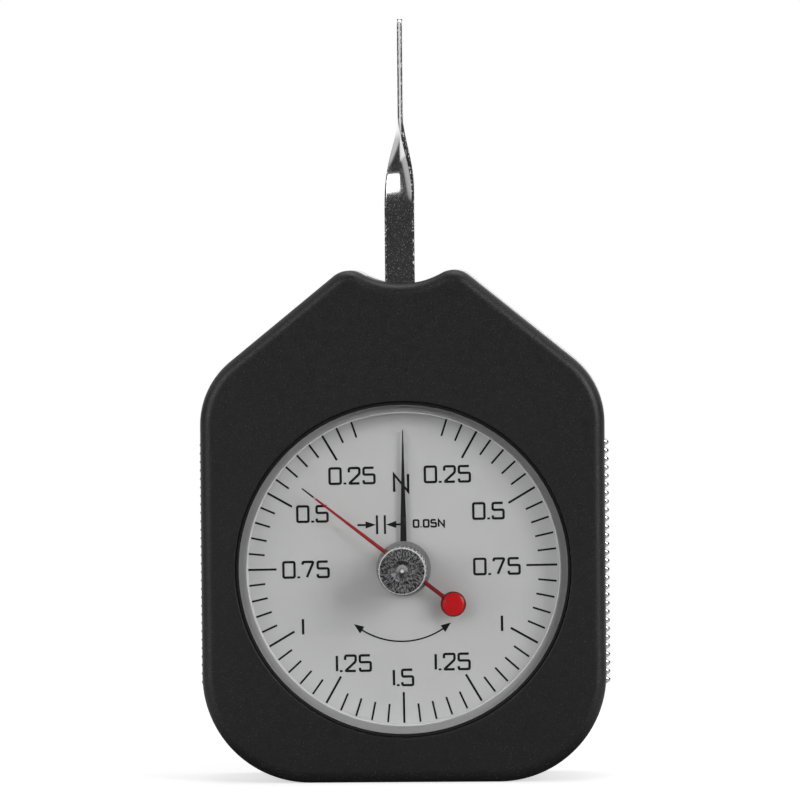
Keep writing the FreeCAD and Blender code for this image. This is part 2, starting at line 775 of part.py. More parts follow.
def arm_spring():
    """Double-acting torsion spring. Its legs grip the drive pin and the fixed pin between them."""
    radius = value("spring_mean_radius")
    wire = value("spring_wire_radius")
    turns = value("spring_turns")
    steps = round(turns * 14)
    legs = spring_legs()
    sections = []
    for step in range(steps + 1):
        share = step / steps
        height = legs[1][0].z + value("spring_pitch") * turns * share
        rim = [math.radians(45 * side + 22.5) for side in range(8)]
        corners = [Vector(radius + wire * math.cos(turn), 0, height + wire * math.sin(turn)) for turn in rim]
        section = Part.makePolygon(corners + corners[:1])
        section.rotate(Vector(0, 0, 0), Vector(0, 0, 1), 360 * turns * share)
        sections.append(section)
    shape = Part.makeLoft(sections, True, True)
    for top, foot in legs:
        run = foot - top
        start = top - run * (wire / run.Length)
        shape = shape.fuse(Part.makeCylinder(wire, run.Length + wire, start, run))
    new_solid("arm_spring", shape, z="pivot_height")


def arm_pins():
    """The pivot, the pin that moves with the sector and the pin fixed to the rear plate."""
    stand = "pivot_stand"
    pivot = tube("0", "pivot_radius", "front_plate_depth - " + stand, "rear_plate_back + " + stand)
    turned("arm_pivot", pivot, z="pivot_height")
    tip = "rear_plate_front - end_float * 2"
    drive = tube("0", "spring_pin_radius", "sector_front", tip)
    turned("drive_pin", drive, z="pivot_height - drive_pin_drop")
    anchor = tube("0", "spring_pin_radius", "spring_front - end_float", "rear_plate_back")
    turned("anchor_pin", anchor, z="pivot_height - anchor_pin_drop")


# Sector and pinion


def tooth_side(radius):
    """One side of a tooth, from root to tip: pairs of radius and half angle at that radius."""
    module = value("gear_module")
    pressure = math.radians(value("pressure_angle"))
    base = radius * math.cos(pressure)
    root = radius - module * 1.25
    tip = radius + module
    half = (math.pi * module / 2 - value("gear_backlash") / 2) / (2 * radius)

    def half_angle(at):
        slant = math.acos(base / max(at, base))
        return half + math.tan(pressure) - pressure - math.tan(slant) + slant

    start = max(root, base)
    stages = sorted({root, start, radius, tip})
    return [(at, half_angle(at)) for at in stages]


def tooth_points(radius, centre_angle, turn):
    """Corners of one tooth in the order of a turn of 1 or -1, as points of the front view."""
    side = tooth_side(radius)
    points = []
    for at, half in side:
        points.append((at, centre_angle - turn * half))
    for at, half in reversed(side):
        points.append((at, centre_angle + turn * half))
    return [(at * math.cos(angle), at * math.sin(angle)) for at, angle in points]


def pinion_shape(front, back):
    """Whole pinion with one tooth upright, in mesh with the gap in the middle of the sector."""
    teeth = int(value("pinion_teeth"))
    points = []
    for index in range(teeth):
        angle = math.pi / 2 + 2 * math.pi * index / teeth
        points += tooth_points(value("pinion_radius"), angle, 1)
    return slab(points, front, back)


def sector_side():
    """The straight right-hand side of the sector: its inner and its outer end."""
    teeth = int(value("sector_teeth"))
    rim = value("sector_radius - gear_module * 1.25")
    pitch = math.radians(360 / value("pinion_teeth * sector_ratio"))
    half = pitch * teeth / 2
    start = math.radians(value("sector_root_angle"))
    hub = value("hub_flange_radius")
    inner = (hub * math.sin(start), -hub * math.cos(start))
    outer = (rim * math.sin(half), -rim * math.cos(half))
    return inner, outer, pitch, teeth


def sector_gear():
    """Brass sector: hub disc, three spokes and a toothed rim that hangs below the pivot."""
    inner, outer, pitch, teeth = sector_side()
    points = [inner]
    for index in range(teeth):
        angle = -math.pi / 2 + pitch * ((teeth - 1) / 2 - index)
        points += tooth_points(value("sector_radius"), angle, -1)
    points.append((-inner[0], inner[1]))
    front = value("sector_front")
    back = value("flange_front")
    shape = slab(points, front, back).fuse(rod(value("hub_flange_radius"), front, back))
    shape = shape.cut(sector_windows(inner, outer, front, back))
    shape = shape.cut(hub_seat(front, back, "fixed_clearance"))
    pin = rod(value("spring_pin_radius + fixed_clearance"), front, back, 0, -value("drive_pin_drop"))
    new_solid("sector_gear", shape.cut(pin), z="pivot_height")


def sector_windows(inner, outer, front, back):
    """Two windows that leave a spoke down the middle, one along each side, and the rim."""
    spoke = value("sector_spoke")
    rim = value("sector_radius - gear_module * 1.25 - sector_rim")
    top = -value("drive_pin_drop + spring_pin_radius") - spoke
    run = (outer[0] - inner[0], outer[1] - inner[1])
    length = math.hypot(*run)
    shift = spoke * length / abs(run[1])

    def side_at(height):
        return inner[0] + run[0] * (height - inner[1]) / run[1] - shift

    low = -math.sqrt(rim**2 - side_at(-rim) ** 2)
    mid = spoke / 2
    right = [(mid, top), (side_at(top), top), (side_at(low), low), (mid, -rim)]
    left = [(-across, up) for across, up in right]
    return slab(right, front, back).fuse(slab(left, front, back))


def stop_pins():
    """Two pins on the front plate that the sector's sides meet at the ends of the arm's travel."""
    inner, outer = sector_side()[:2]
    share = value("stop_share")
    gap = value("stop_pin_radius + fixed_clearance * 2")
    run = Vector(outer[0] - inner[0], outer[1] - inner[1], 0)
    out = Vector(-run.y, run.x, 0)
    out.normalize()
    point = Vector(inner[0], inner[1], 0) + run * share + out * gap
    swung = Rotation(Vector(0, 0, 1), value("arm_travel")).multVec(point)
    pin = rod(value("stop_pin_radius"), value("front_plate_back"), value("flange_front"))
    new_solid("stop_pins", copies(pin, [(swung.x, swung.y), (-swung.x, swung.y)]), z="pivot_height")


# Arbor, hairspring and black pointer


def pointer_arbor():
    """Shaft with the pinion cut in one piece with it."""
    front = value("pinion_front")
    shape = pinion_shape(front, front + value("pinion_width"))
    tail = value("rear_plate_back + arbor_stand")
    shape = shape.fuse(rod(value("arbor_radius"), value("pointer_hub_depth + end_float"), tail))
    shoulder = value("arbor_radius") * 2
    shape = shape.fuse(rod(shoulder, value("hub_front"), front))
    shape = shape.fuse(rod(shoulder, value("hub_back") - value("end_float") * 4, value("hub_back")))
    new_solid("pointer_arbor", shape, z="dial_height")


def hairspring_arms():
    """Radius of the hairspring's first half turn and of its last."""
    first = value("collet_radius + hairspring_thickness / 2")
    last = first + value("hairspring_pitch") / 2 * (value("hairspring_half_turns") - 1)
    return first, last


def hairspring():
    """Flat spiral of half circles that takes up the play between sector and pinion."""
    thick = value("hairspring_thickness") / 2
    step = value("hairspring_pitch") / 2
    first = hairspring_arms()[0]
    count = int(value("hairspring_half_turns"))
    sides = {1: [], -1: []}
    for side, edges in sides.items():
        for index in range(count):
            centre = Vector(step * (index % 2), 0, 0)
            start = math.pi * (index % 2)
            edges.append(arc(centre, first + step * index + side * thick, start, start + math.pi).toShape())
    ends = []
    for spot in (0, -1):
        corners = [sides[side][spot].Vertexes[spot].Point for side in (1, -1)]
        ends.append(Part.makeLine(*corners))
    wire = Part.Wire(sides[1] + [ends[1]] + sides[-1][::-1] + [ends[0]])
    face = Part.Face(wire)
    depth = value("collet_depth + (collet_width + hairspring_width) / 2")
    face.translate(Vector(0, 0, -depth))
    new_solid("hairspring", face.extrude(Vector(0, 0, value("hairspring_width"))), z="dial_height")


def hairspring_fittings():
    """The split collar that holds the spring's inner end and the stud that holds its outer end."""
    bore = "arbor_radius + fixed_clearance"
    collet = tube(bore, "collet_radius", "collet_depth", "collet_depth + collet_width")
    turned("hairspring_collet", collet, z="dial_height")
    last = hairspring_arms()[1]
    count = int(value("hairspring_half_turns"))
    offset = value("hairspring_pitch") / 2 * ((count - 1) % 2)
    side = -1 if count % 2 else 1
    reach = offset + side * last + side * value("hairspring_thickness / 2 + stud_radius")
    stud = rod(value("stud_radius"), value("collet_depth"), value("rear_plate_front"), reach, 0)
    new_solid("hairspring_stud", stud, z="dial_height")


def taper(root, tip, start, end):
    """Outline of a blade that narrows to its tip along the own Y axis."""
    return [(-root / 2, start), (root / 2, start), (tip / 2, end), (-tip / 2, end)]


def black_pointer():
    """Hub, long thin blade and the small pin that pushes the red pointer round."""
    bore = "arbor_radius + fixed_clearance"
    sleeve = "pointer_sleeve_radius"
    disc = "pointer_hub_radius"
    front = "pointer_hub_depth"
    blade = "pointer_blade_front"
    corners = [(bore, front), (disc, front), (disc, blade), (sleeve, blade)]
    corners += [(sleeve, "pointer_blade_back"), (bore, "pointer_blade_back")]
    turned("pointer_hub", corners, z="dial_height")
    root = value("pointer_root_width")
    front = value("pointer_blade_front")
    back = value("pointer_blade_back")
    points = taper(root, value("pointer_tip_width"), -value("pointer_tail"), value("pointer_length"))
    shape = slab(points, front, back).fuse(rod(value("pointer_tail"), front, back))
    bore = rod(value("pointer_sleeve_radius + fixed_clearance"), front - 1, back + 1)
    pin_front = value("peak_blade_back + drag_clearance")
    pin = rod(value("drag_pin_radius"), pin_front, back, 0, value("drag_pin_circle"))
    new_solid("main_pointer", shape.cut(bore).fuse(pin), z="dial_height")


# Reset knob and red pointer


def reset_knob():
    """Grooved knob with a spun face, a shallow dimple and a bored foot for the spindle."""
    body = new_body("reset_knob", z="dial_height")
    sketch = new_sketch(body, "knob_profile", role="XZ_Plane")
    bore = "spindle_radius + fixed_clearance"
    bore_end = "knob_back - knob_height * knob_bore_share"
    chamfer = "knob_front + (knob_radius - knob_face_radius) * 1.2"
    floor = "knob_front + knob_dimple_depth"
    corners = [("0", "knob_front + knob_dimple_depth / 2"), ("knob_pip_radius", floor)]
    corners += [("knob_dimple_radius", "knob_front"), ("knob_face_radius", "knob_front")]
    corners += [("knob_radius", chamfer), ("knob_radius", "knob_back")]
    corners += [(bore, "knob_back"), (bore, bore_end), ("0", bore_end)]
    polygon(sketch, [(across, "-(%s)" % depth) for across, depth in corners])
    blank = body.newObject("PartDesign::Revolution", "knob_blank")
    blank.Profile = sketch
    blank.ReferenceAxis = (sketch, ["V_Axis"])
    blank.Angle = 360
    body.Tip = blank
    groove = new_sketch(body, "knob_groove", "knob_front")
    floor = "knob_radius - knob_groove_depth"
    wide = "knob_groove_width / 2"
    rim = "knob_radius * 1.02"
    polygon(groove, [("0", floor), (wide, rim), ("-" + wide, rim)])
    cut = pocket(body, groove, "knob_height")
    grooves = body.newObject("PartDesign::PolarPattern", "knob_grooves")
    grooves.Originals = [cut]
    axis = next(item for item in body.Origin.OriginFeatures if item.Role == "Z_Axis")
    grooves.Axis = (axis, [""])
    grooves.Angle = 360
    grooves.setExpression("Occurrences", expand("knob_groove_count"))
    body.Tip = grooves


def knob_bearing():
    """Spindle, its bush in the crystal, the spring washer under the knob and the retaining clip."""
    front = "knob_back - knob_height * knob_bore_share + end_float"
    turned("knob_spindle", tube("0", "spindle_radius", front, "peak_hub_back"), z="dial_height")
    bore = "spindle_radius + running_clearance"
    wall = "crystal_hole_radius - fixed_clearance"
    head = "bush_head_radius"
    face = "crystal_recess - bush_head_thickness"
    corners = [(bore, face), (head, face), (head, "crystal_recess"), (wall, "crystal_recess")]
    corners += [(wall, "crystal_back"), (bore, "crystal_back")]
    turned("crystal_bush", corners, z="dial_height")
    washer = tube(bore, "washer_radius", "knob_back + running_clearance", face)
    turned("friction_washer", washer, z="dial_height")
    span = (value("clip_front"), value("clip_back"))
    mouth = value("clip_mouth") / 2
    reach = value("clip_radius") * 2
    clip = rod(value("clip_radius"), *span)
    clip = clip.cut(rod(value("spindle_radius + fixed_clearance"), *span))
    gap = [(-mouth, -reach), (mouth, -reach), (mouth, 0), (-mouth, 0)]
    new_solid("spindle_clip", clip.cut(slab(gap, *span)), z="dial_height")


def lie_at_peak(shape):
    """Turn a shape from 12 o'clock to where the red pointer rests."""
    turn = Placement(Vector(0, 0, 0), Rotation(Vector(0, 0, 1), value("peak_angle")))
    return shape.transformed(turn.toMatrix(), copy=True)


def red_pointer():
    """Ridged blade with a round counterweight on its tail, on a small hub under the crystal."""
    bore = "spindle_radius + fixed_clearance"
    front = "peak_hub_depth"
    flange = "peak_blade_front"
    sleeve = "spindle_radius + peak_flange_thickness"
    corners = [(bore, front), ("peak_hub_radius", front), ("peak_hub_radius", flange), (sleeve, flange)]
    corners += [(sleeve, "peak_hub_back"), (bore, "peak_hub_back")]
    turned("peak_hub", corners, z="dial_height")
    front = value("peak_blade_front")
    back = value("peak_blade_back")
    eye = value("peak_hub_radius")
    root = value("peak_root_width")
    tail = value("peak_tail - counterweight_radius / 2")
    blade = ridged_blade(root, value("peak_tip_width"), eye / 2, value("peak_length"), front, back)
    blade = blade.cut(rod(value("peak_hub_radius + fixed_clearance"), value("peak_hub_depth"), front))
    tail_blade = slab(taper(root, root * 0.85, -eye / 2, -tail), front, back)
    disc = rod(eye, front, back)
    bore = rod(value(sleeve + " + fixed_clearance"), front - 1, back + 1)
    shape = blade.fuse([tail_blade, disc]).cut(bore)
    weight = counterweight_shape()
    new_solid("peak_pointer", lie_at_peak(shape.cut(weight)), z="dial_height")
    new_solid("peak_counterweight", lie_at_peak(weight), z="dial_height")


def ridged_blade(root, tip, start, end, front, back):
    """A tapered blade whose middle line stands proud towards the front."""
    ridge = value("peak_ridge")

    def section(width, at, height):
        half = width / 2
        corners = [Vector(-half, at, -back), Vector(half, at, -back), Vector(half, at, -front)]
        corners += [Vector(0, at, -front + height), Vector(-half, at, -front)]
        return Part.makePolygon(corners + corners[:1])

    return Part.makeLoft([section(root, start, ridge), section(tip, end, ridge * tip / root)], True, True)


def counterweight_shape():
    """Round weight with a low domed front, on the pointer's tail."""
    radius = value("counterweight_radius")
    back = value("peak_blade_back")
    front = back - value("counterweight_thickness")
    dome = value("counterweight_dome")
    corners = [(0, front), (radius * 0.6, front + dome * 0.3), (radius * 0.9, front + dome)]
    corners += [(radius, front + dome * 1.5), (radius, back), (0, back)]
    return spun(corners, -value("peak_tail"))


# Build, check and write the sub-parts

front_case()
grip_body()
back_cover()
window_and_dial()
movement_frame()
arbor_bushes()
measuring_arm()
arm_hub()
arm_spring()
arm_pins()
sector_gear()
stop_pins()
pointer_arbor()
hairspring()
hairspring_fittings()
black_pointer()
reset_knob()
knob_bearing()
red_pointer()
doc.recompute()

for item in doc.Objects:
    if "Invalid" in item.State or "Error" in item.State:
        raise SystemExit("%s failed: %s" % (item.Label, item.State))

os.makedirs("parts", exist_ok=True)
for subpart in subparts:
    shape = subpart.Shape
    if shape.isNull() or not shape.isValid():
        raise SystemExit("%s has no sound shape" % subpart.Label)
for subpart in subparts:
    subpart.Shape.exportStep("parts/%s.step" % subpart.Label)
print("%d sub-parts written" % len(subparts))
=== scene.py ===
"""Looks of the dial tension meter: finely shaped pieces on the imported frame, their finishes and the studio.

Lengths are written in millimetres and turned into metres where a mesh or the camera is made. Only the lamps'
places and sizes are written in metres. A depth is measured back from the front face of the case, and what is
round stands about the dial's middle where it names no other.
"""

import json
import math

import bmesh
import bpy
from mathutils import Euler, Matrix, Vector


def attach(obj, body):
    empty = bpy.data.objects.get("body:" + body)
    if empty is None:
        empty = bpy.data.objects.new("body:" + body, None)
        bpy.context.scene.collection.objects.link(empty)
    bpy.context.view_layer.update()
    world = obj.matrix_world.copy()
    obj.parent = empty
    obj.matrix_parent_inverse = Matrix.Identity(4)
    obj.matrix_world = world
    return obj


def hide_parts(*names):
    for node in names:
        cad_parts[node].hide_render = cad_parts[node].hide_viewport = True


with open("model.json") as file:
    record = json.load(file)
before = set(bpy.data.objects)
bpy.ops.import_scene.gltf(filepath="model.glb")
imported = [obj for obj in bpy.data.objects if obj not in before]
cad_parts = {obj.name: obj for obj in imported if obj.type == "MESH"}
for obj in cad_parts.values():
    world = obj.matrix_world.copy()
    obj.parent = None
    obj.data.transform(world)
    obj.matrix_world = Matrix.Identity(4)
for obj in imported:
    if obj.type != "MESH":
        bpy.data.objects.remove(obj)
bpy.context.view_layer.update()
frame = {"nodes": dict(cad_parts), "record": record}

MM = 0.001
CREASE = 32
MERGE_DISTANCE = 0.0001
OVERCUT = 1.0

# Case

FRONT = -11.0
DIAL_Z = 32.7
PIVOT_Z = 67.8
HALF_WIDTH = 31.0
BOTTOM_RADIUS = 16.5
SHOULDER = (18.4, 54.9)
SHOULDER_RADIUS = 12.6
HORN = (8.0, 74.82)
HORN_RADIUS = 3.68
SADDLE_RADIUS = 12.8
CASE_WALL = 2.0
FACE_THICKNESS = 2.2
FRONT_DEPTH = 9.0
BACK_DEPTH = 20.0
BODY_DEPTH = 22.0
FRONT_ROUNDING = 1.8
BACK_BEVEL = 0.8
SEAM = 0.12
ARM_SLOT_HALF_WIDTH = 5.5
ARM_SLOT_BOTTOM = 70.5
ARM_SLOT_DEPTH = 3.4
RIGHT_SCREWS = [(22.40, 9.29), (23.34, 60.84)]
SCREWS = [(side * x, z) for side in (-1, 1) for x, z in RIGHT_SCREWS]
SCREW_RADIUS = 1.0
SCREW_HEAD_RADIUS = 2.0
SCREW_HEAD_HEIGHT = 1.2
SCREW_TIP_DEPTH = 17.0
SCREW_SLOT_WIDTH = 0.5
SCREW_SLOT_DEPTH = 0.6
SCREW_CLEARANCE = 0.05

# Ribs of the grip

RIB_COUNT = 29
RIB_START = 15.0
RIB_PITCH = 1.31
RIB_HEIGHT = 0.6
RIB_FOOT = 1.1
RIB_CREST = 0.36
RIB_FRONT = 9.7
RIB_BACK = 19.3
RIB_RAMP = [(0.0, 0.0), (0.2, 0.75), (0.35, 1.0)]

# Window and dial

DIAL_MIDDLE = (0, 0, DIAL_Z)
WINDOW_RADIUS = 25.76
WINDOW_RIM = 0.15
FLANGE_RADIUS = 27.26
CRYSTAL_RADIUS = 25.2
CRYSTAL_FRONT = 0.4
CRYSTAL_BACK = 1.9
CRYSTAL_HOLE = 1.8
RING_INNER = 23.95
DIAL_FRONT = 4.9
DIAL_BACK = 5.4
PRINT_FRONT = 4.88
PRINT_BACK = DIAL_FRONT + 0.02
PRINT_SHIFT = (-0.38, 0.15)
PRINT_TURN = -math.radians(0.6)

# Scale: its first line and its steps in degrees, and where each kind of line starts and how wide it is

FIRST_LINE = 18
LINE_STEP = 6
LONG_LINE_STEP = 30
LONG_LINE = (19.2, 0.34)
SHORT_LINE = (21.1, 0.30)
FIGURE_HEIGHT = 2.75
FIGURE_STROKE = 0.38

# Pointers

HAND_FRONT = 4.1
HAND_BACK = 4.3
RED_FRONT = 2.7
RED_BACK = 2.92
PEAK_ANGLE = -math.radians(52.2)
RED_OFFSET = 0.35
WEIGHT_REACH = 9.35
WEIGHT_RADIUS = 1.95
PALE_START = 17.15
TIP_START = 17.55
KNOB_RADIUS = 3.75
KNOB_FRONT = -5.05
KNOB_BACK = -0.1
KNOB_BORE = 0.77
KNOB_FLOOR = -4.06
KNOB_FLUTES = 34

# Arm

ARM_WIDTH = 4.6
ARM_THICKNESS = 0.77
ARM_EDGE = 0.3
ARM_DEPTH = 10.8
ARM_LENGTH = 49.4
TWIST_START = 20.6
TWIST_LENGTH = 13.6
TIP_RADIUS = 1.4
EYE_RADIUS = 4.4
HUB_SEAT_HALF = 1.72

# Light and camera

FLOOR_FILL = 0.62
SKY = 0.28
ROOM_THROUGH_GLASS = 0.14
FLOOR_WHITENS = (90, 330)
TABLE_SLOPE = 0.59
TABLE_FRONT = (-415, -375)
TABLE_SIDE = (30, 60)
FLOOR_BEHIND = (20, 150)
CAMERA_PLACE = (30.0, -1000.0, 82.8)
CAMERA_TILT = math.radians(90 - 1.397)
CAMERA_TURN = math.radians(1.751)
CAMERA_ROLL = -math.radians(0.5)
SENSOR_WIDTH = 36
PICTURE_PIXELS = 800
FOCAL_PIXELS = 6474


# Mesh helpers


def spot(x, depth, z):
    """A point of the frame in metres, from its place across, behind the front face and above the base."""
    return Vector((x, FRONT + depth, z)) * MM


def turn_about_dial(points, angle):
    """Points (across, up) turned about the dial's middle, clockwise for someone reading the dial."""
    c, s = math.cos(angle), math.sin(angle)
    return [(x * c + z * s, z * c - x * s) for x, z in points]


def arc_points(centre, radius, start, end, count):
    """Points along an arc, without the last one."""
    angles = [start + (end - start) * i / count for i in range(count)]
    return [(centre[0] + radius * math.cos(a), centre[1] + radius * math.sin(a)) for a in angles]


def line_points(start, end, count):
    """Points along a straight line, without the last one."""
    run = (end[0] - start[0], end[1] - start[1])
    return [(start[0] + run[0] * i / count, start[1] + run[1] * i / count) for i in range(count)]


def case_outline(inset):
    """The case's outline seen from the front, moved inwards by an inset. It always has as many points."""
    side = HALF_WIDTH - inset
    flat = HALF_WIDTH - BOTTOM_RADIUS
    rise = math.sqrt((SADDLE_RADIUS + HORN_RADIUS) ** 2 - HORN[0] ** 2)
    run = (HORN[0] - SHOULDER[0], HORN[1] - SHOULDER[1])
    slope = math.atan2(run[1], run[0]) - math.acos((SHOULDER_RADIUS - HORN_RADIUS) / math.hypot(*run))
    dip = math.atan2(rise, -HORN[0])

    def on(centre, radius):
        """Where a corner's arc meets the straight stretch between shoulder and horn."""
        reach = radius - inset
        return (centre[0] + reach * math.cos(slope), centre[1] + reach * math.sin(slope))

    corner = arc_points((flat, BOTTOM_RADIUS), BOTTOM_RADIUS - inset, -math.pi / 2, 0, 28)
    shoulder = arc_points(SHOULDER, SHOULDER_RADIUS - inset, 0, slope, 18)
    horn = arc_points(HORN, HORN_RADIUS - inset, slope, dip, 16)
    saddle = arc_points((0, HORN[1] + rise), SADDLE_RADIUS + inset, dip - math.pi, -math.pi / 2, 12)
    right = line_points((0, inset), (flat, inset), 12) + corner
    right += line_points((side, BOTTOM_RADIUS), (side, SHOULDER[1]), 24) + shoulder
    right += line_points(on(SHOULDER, SHOULDER_RADIUS), on(HORN, HORN_RADIUS), 14) + horn + saddle
    middle = (0, HORN[1] + rise - SADDLE_RADIUS - inset)
    return right + [middle] + [(-x, z) for x, z in right[:0:-1]]


def window_outline(radius):
    """A circle about the dial's middle whose points face those of the case's outline."""
    ring = []
    for x, z in case_outline(0):
        reach = math.hypot(x, z - DIAL_Z)
        ring.append((x * radius / reach, DIAL_Z + (z - DIAL_Z) * radius / reach))
    return ring


def circle(radius, count, centre=(0, DIAL_Z)):
    """A ring of points (across, up) about a centre."""
    return arc_points(centre, radius, 0, 2 * math.pi, count)


def at_depth(ring, depth):
    """A ring of points (across, up) set in the frame at one depth."""
    return [spot(x, depth, z) for x, z in ring]


def skin(loops, closed=False, capped=False):
    """Vertices and faces of a skin over rings of points that have equal counts."""
    count = len(loops[0])
    vertices = [point for loop in loops for point in loop]
    rows = range(len(loops)) if closed else range(len(loops) - 1)
    faces = []
    for row in rows:
        here = row * count
        there = (row + 1) % len(loops) * count
        for i in range(count):
            j = (i + 1) % count
            faces.append((here + i, here + j, there + j, there + i))
    if capped:
        last = (len(loops) - 1) * count
        faces.append(tuple(reversed(range(count))))
        faces.append(tuple(range(last, last + count)))
    return vertices, faces


def joined(skins):
    """Several skins as one list of vertices and one of faces."""
    vertices, faces = [], []
    for more, shapes in skins:
        first = len(vertices)
        vertices += more
        faces += [tuple(first + i for i in face) for face in shapes]
    return vertices, faces


def moved(shape, across, up=0.0):
    """A skin shifted across and up."""
    return [point + Vector((across, 0, up)) * MM for point in shape[0]], shape[1]


def swung(shape, angle):
    """A skin turned about the dial's middle, clockwise for someone reading the dial."""
    turn = Matrix.Translation((0, 0, DIAL_Z * MM)) @ Matrix.Rotation(angle, 4, "Y")
    turn = turn @ Matrix.Translation((0, 0, -DIAL_Z * MM))
    return [turn @ point for point in shape[0]], shape[1]


def turned(profile, count=192, centre=(0, DIAL_Z), closed=True):
    """Skin of a turned piece. Its profile is a list of radius and depth."""
    loops = [at_depth(circle(radius, count, centre), depth) for radius, depth in profile]
    return skin(loops, closed=closed)


def washer(inner, outer, front, back, count=192):
    """Skin of a flat ring between two depths."""
    return turned([(inner, front), (outer, front), (outer, back), (inner, back)], count)


def new_mesh(name, shape, crease=CREASE):
    """An object from a skin, with double points merged, faces outward and smooth up to a crease angle."""
    mesh = bpy.data.meshes.new(name)
    mesh.from_pydata(shape[0], [], shape[1])
    work = bmesh.new()
    work.from_mesh(mesh)
    bmesh.ops.remove_doubles(work, verts=work.verts, dist=MERGE_DISTANCE * MM)
    bmesh.ops.dissolve_degenerate(work, edges=work.edges, dist=MERGE_DISTANCE * MM / 10)
    bmesh.ops.recalc_face_normals(work, faces=work.faces)
    work.to_mesh(mesh)
    work.free()
    thing = bpy.data.objects.new(name, mesh)
    bpy.context.scene.collection.objects.link(thing)
    soften(thing, crease)
    return thing


def soften(thing, crease):
    """Smooth shading between faces that meet at less than a crease angle in degrees."""
    thing.data.shade_smooth()
    thing.data.set_sharp_from_angle(angle=math.radians(crease))


def cut(thing, tools, crease=CREASE):
    """Take other objects' shapes out of this one for good and delete them. They reach an overcut past it."""
    for tool in tools:
        modifier = thing.modifiers.new("cut", "BOOLEAN")
        modifier.operation = "DIFFERENCE"
        modifier.solver = "EXACT"
        modifier.object = tool
    bpy.context.view_layer.update()
    result = bpy.data.meshes.new_from_object(thing.evaluated_get(bpy.context.evaluated_depsgraph_get()))
    thing.modifiers.clear()
    thing.data = result
    for tool in tools:
        bpy.data.objects.remove(tool)
    soften(thing, crease)


def dress(thing, body, slot, finish, *nodes):
    """Give a piece its finish and its body, and let it stand for CAD nodes. The slot it takes is not used."""
    thing.data.materials.clear()
    thing.data.materials.append(finish)
    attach(thing, body)
    if nodes:
        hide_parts(*nodes)


def block(name, low, high):
    """A plain box between two corners in millimetres (across, depth, up), to cut with."""
    loops = []
    for depth in (low[1], high[1]):
        corners = [(low[0], low[2]), (high[0], low[2]), (high[0], high[2]), (low[0], high[2])]
        loops.append(at_depth(corners, depth))
    return new_mesh(name, skin(loops, capped=True))


# Finishes


class Steps:
    """The nodes of a finish or of the world, and the steps that both are built from."""

    def __init__(self, tree):
        self.nodes = tree.nodes
        self.links = tree.links

    def feed(self, socket, value):
        """Give a socket another node's output, a colour or a number."""
        if isinstance(value, bpy.types.NodeSocket):
            self.links.new(value, socket)
        elif isinstance(value, tuple):
            socket.default_value = (*value, 1)
        else:
            socket.default_value = value

    def math(self, operation, first, second=0.5):
        node = self.nodes.new("ShaderNodeMath")
        node.operation = operation
        self.feed(node.inputs[0], first)
        self.feed(node.inputs[1], second)
        return node.outputs[0]

    def length(self, first, second):
        """Length of a line from its two parts."""
        squares = [self.math("MULTIPLY", part, part) for part in (first, second)]
        return self.math("SQRT", self.math("ADD", *squares))

    def spread(self, factor, low, high, to_low=0.0, to_high=1.0):
        """A factor stretched so that low and high become two other numbers, and held between them."""
        node = self.nodes.new("ShaderNodeMapRange")
        for name, value in zip(("From Min", "From Max", "To Min", "To Max"), (low, high, to_low, to_high)):
            node.inputs[name].default_value = value
        self.links.new(factor, node.inputs["Value"])
        return node.outputs["Result"]

    def axes(self, place):
        """The parts of a place: across, back and up."""
        split = self.nodes.new("ShaderNodeSeparateXYZ")
        self.links.new(place, split.inputs[0])
        return split.outputs["X"], split.outputs["Y"], split.outputs["Z"]

    def either(self, factor, first, second):
        """The first of two shaders where the factor is 0, and the second where it is 1."""
        mix = self.nodes.new("ShaderNodeMixShader")
        for source, socket in zip((factor, first, second), mix.inputs):
            self.links.new(source, socket)
        return mix.outputs[0]

    def rays(self):
        """Whether a ray comes from the eye, or from metal or glass, and how bright glass makes the room."""
        path = self.nodes.new("ShaderNodeLightPath")
        eye, glass = path.outputs["Is Camera Ray"], path.outputs["Is Transmission Ray"]
        mirror = self.math("MAXIMUM", path.outputs["Is Glossy Ray"], glass)
        return eye, mirror, self.math("MULTIPLY", glass, ROOM_THROUGH_GLASS)


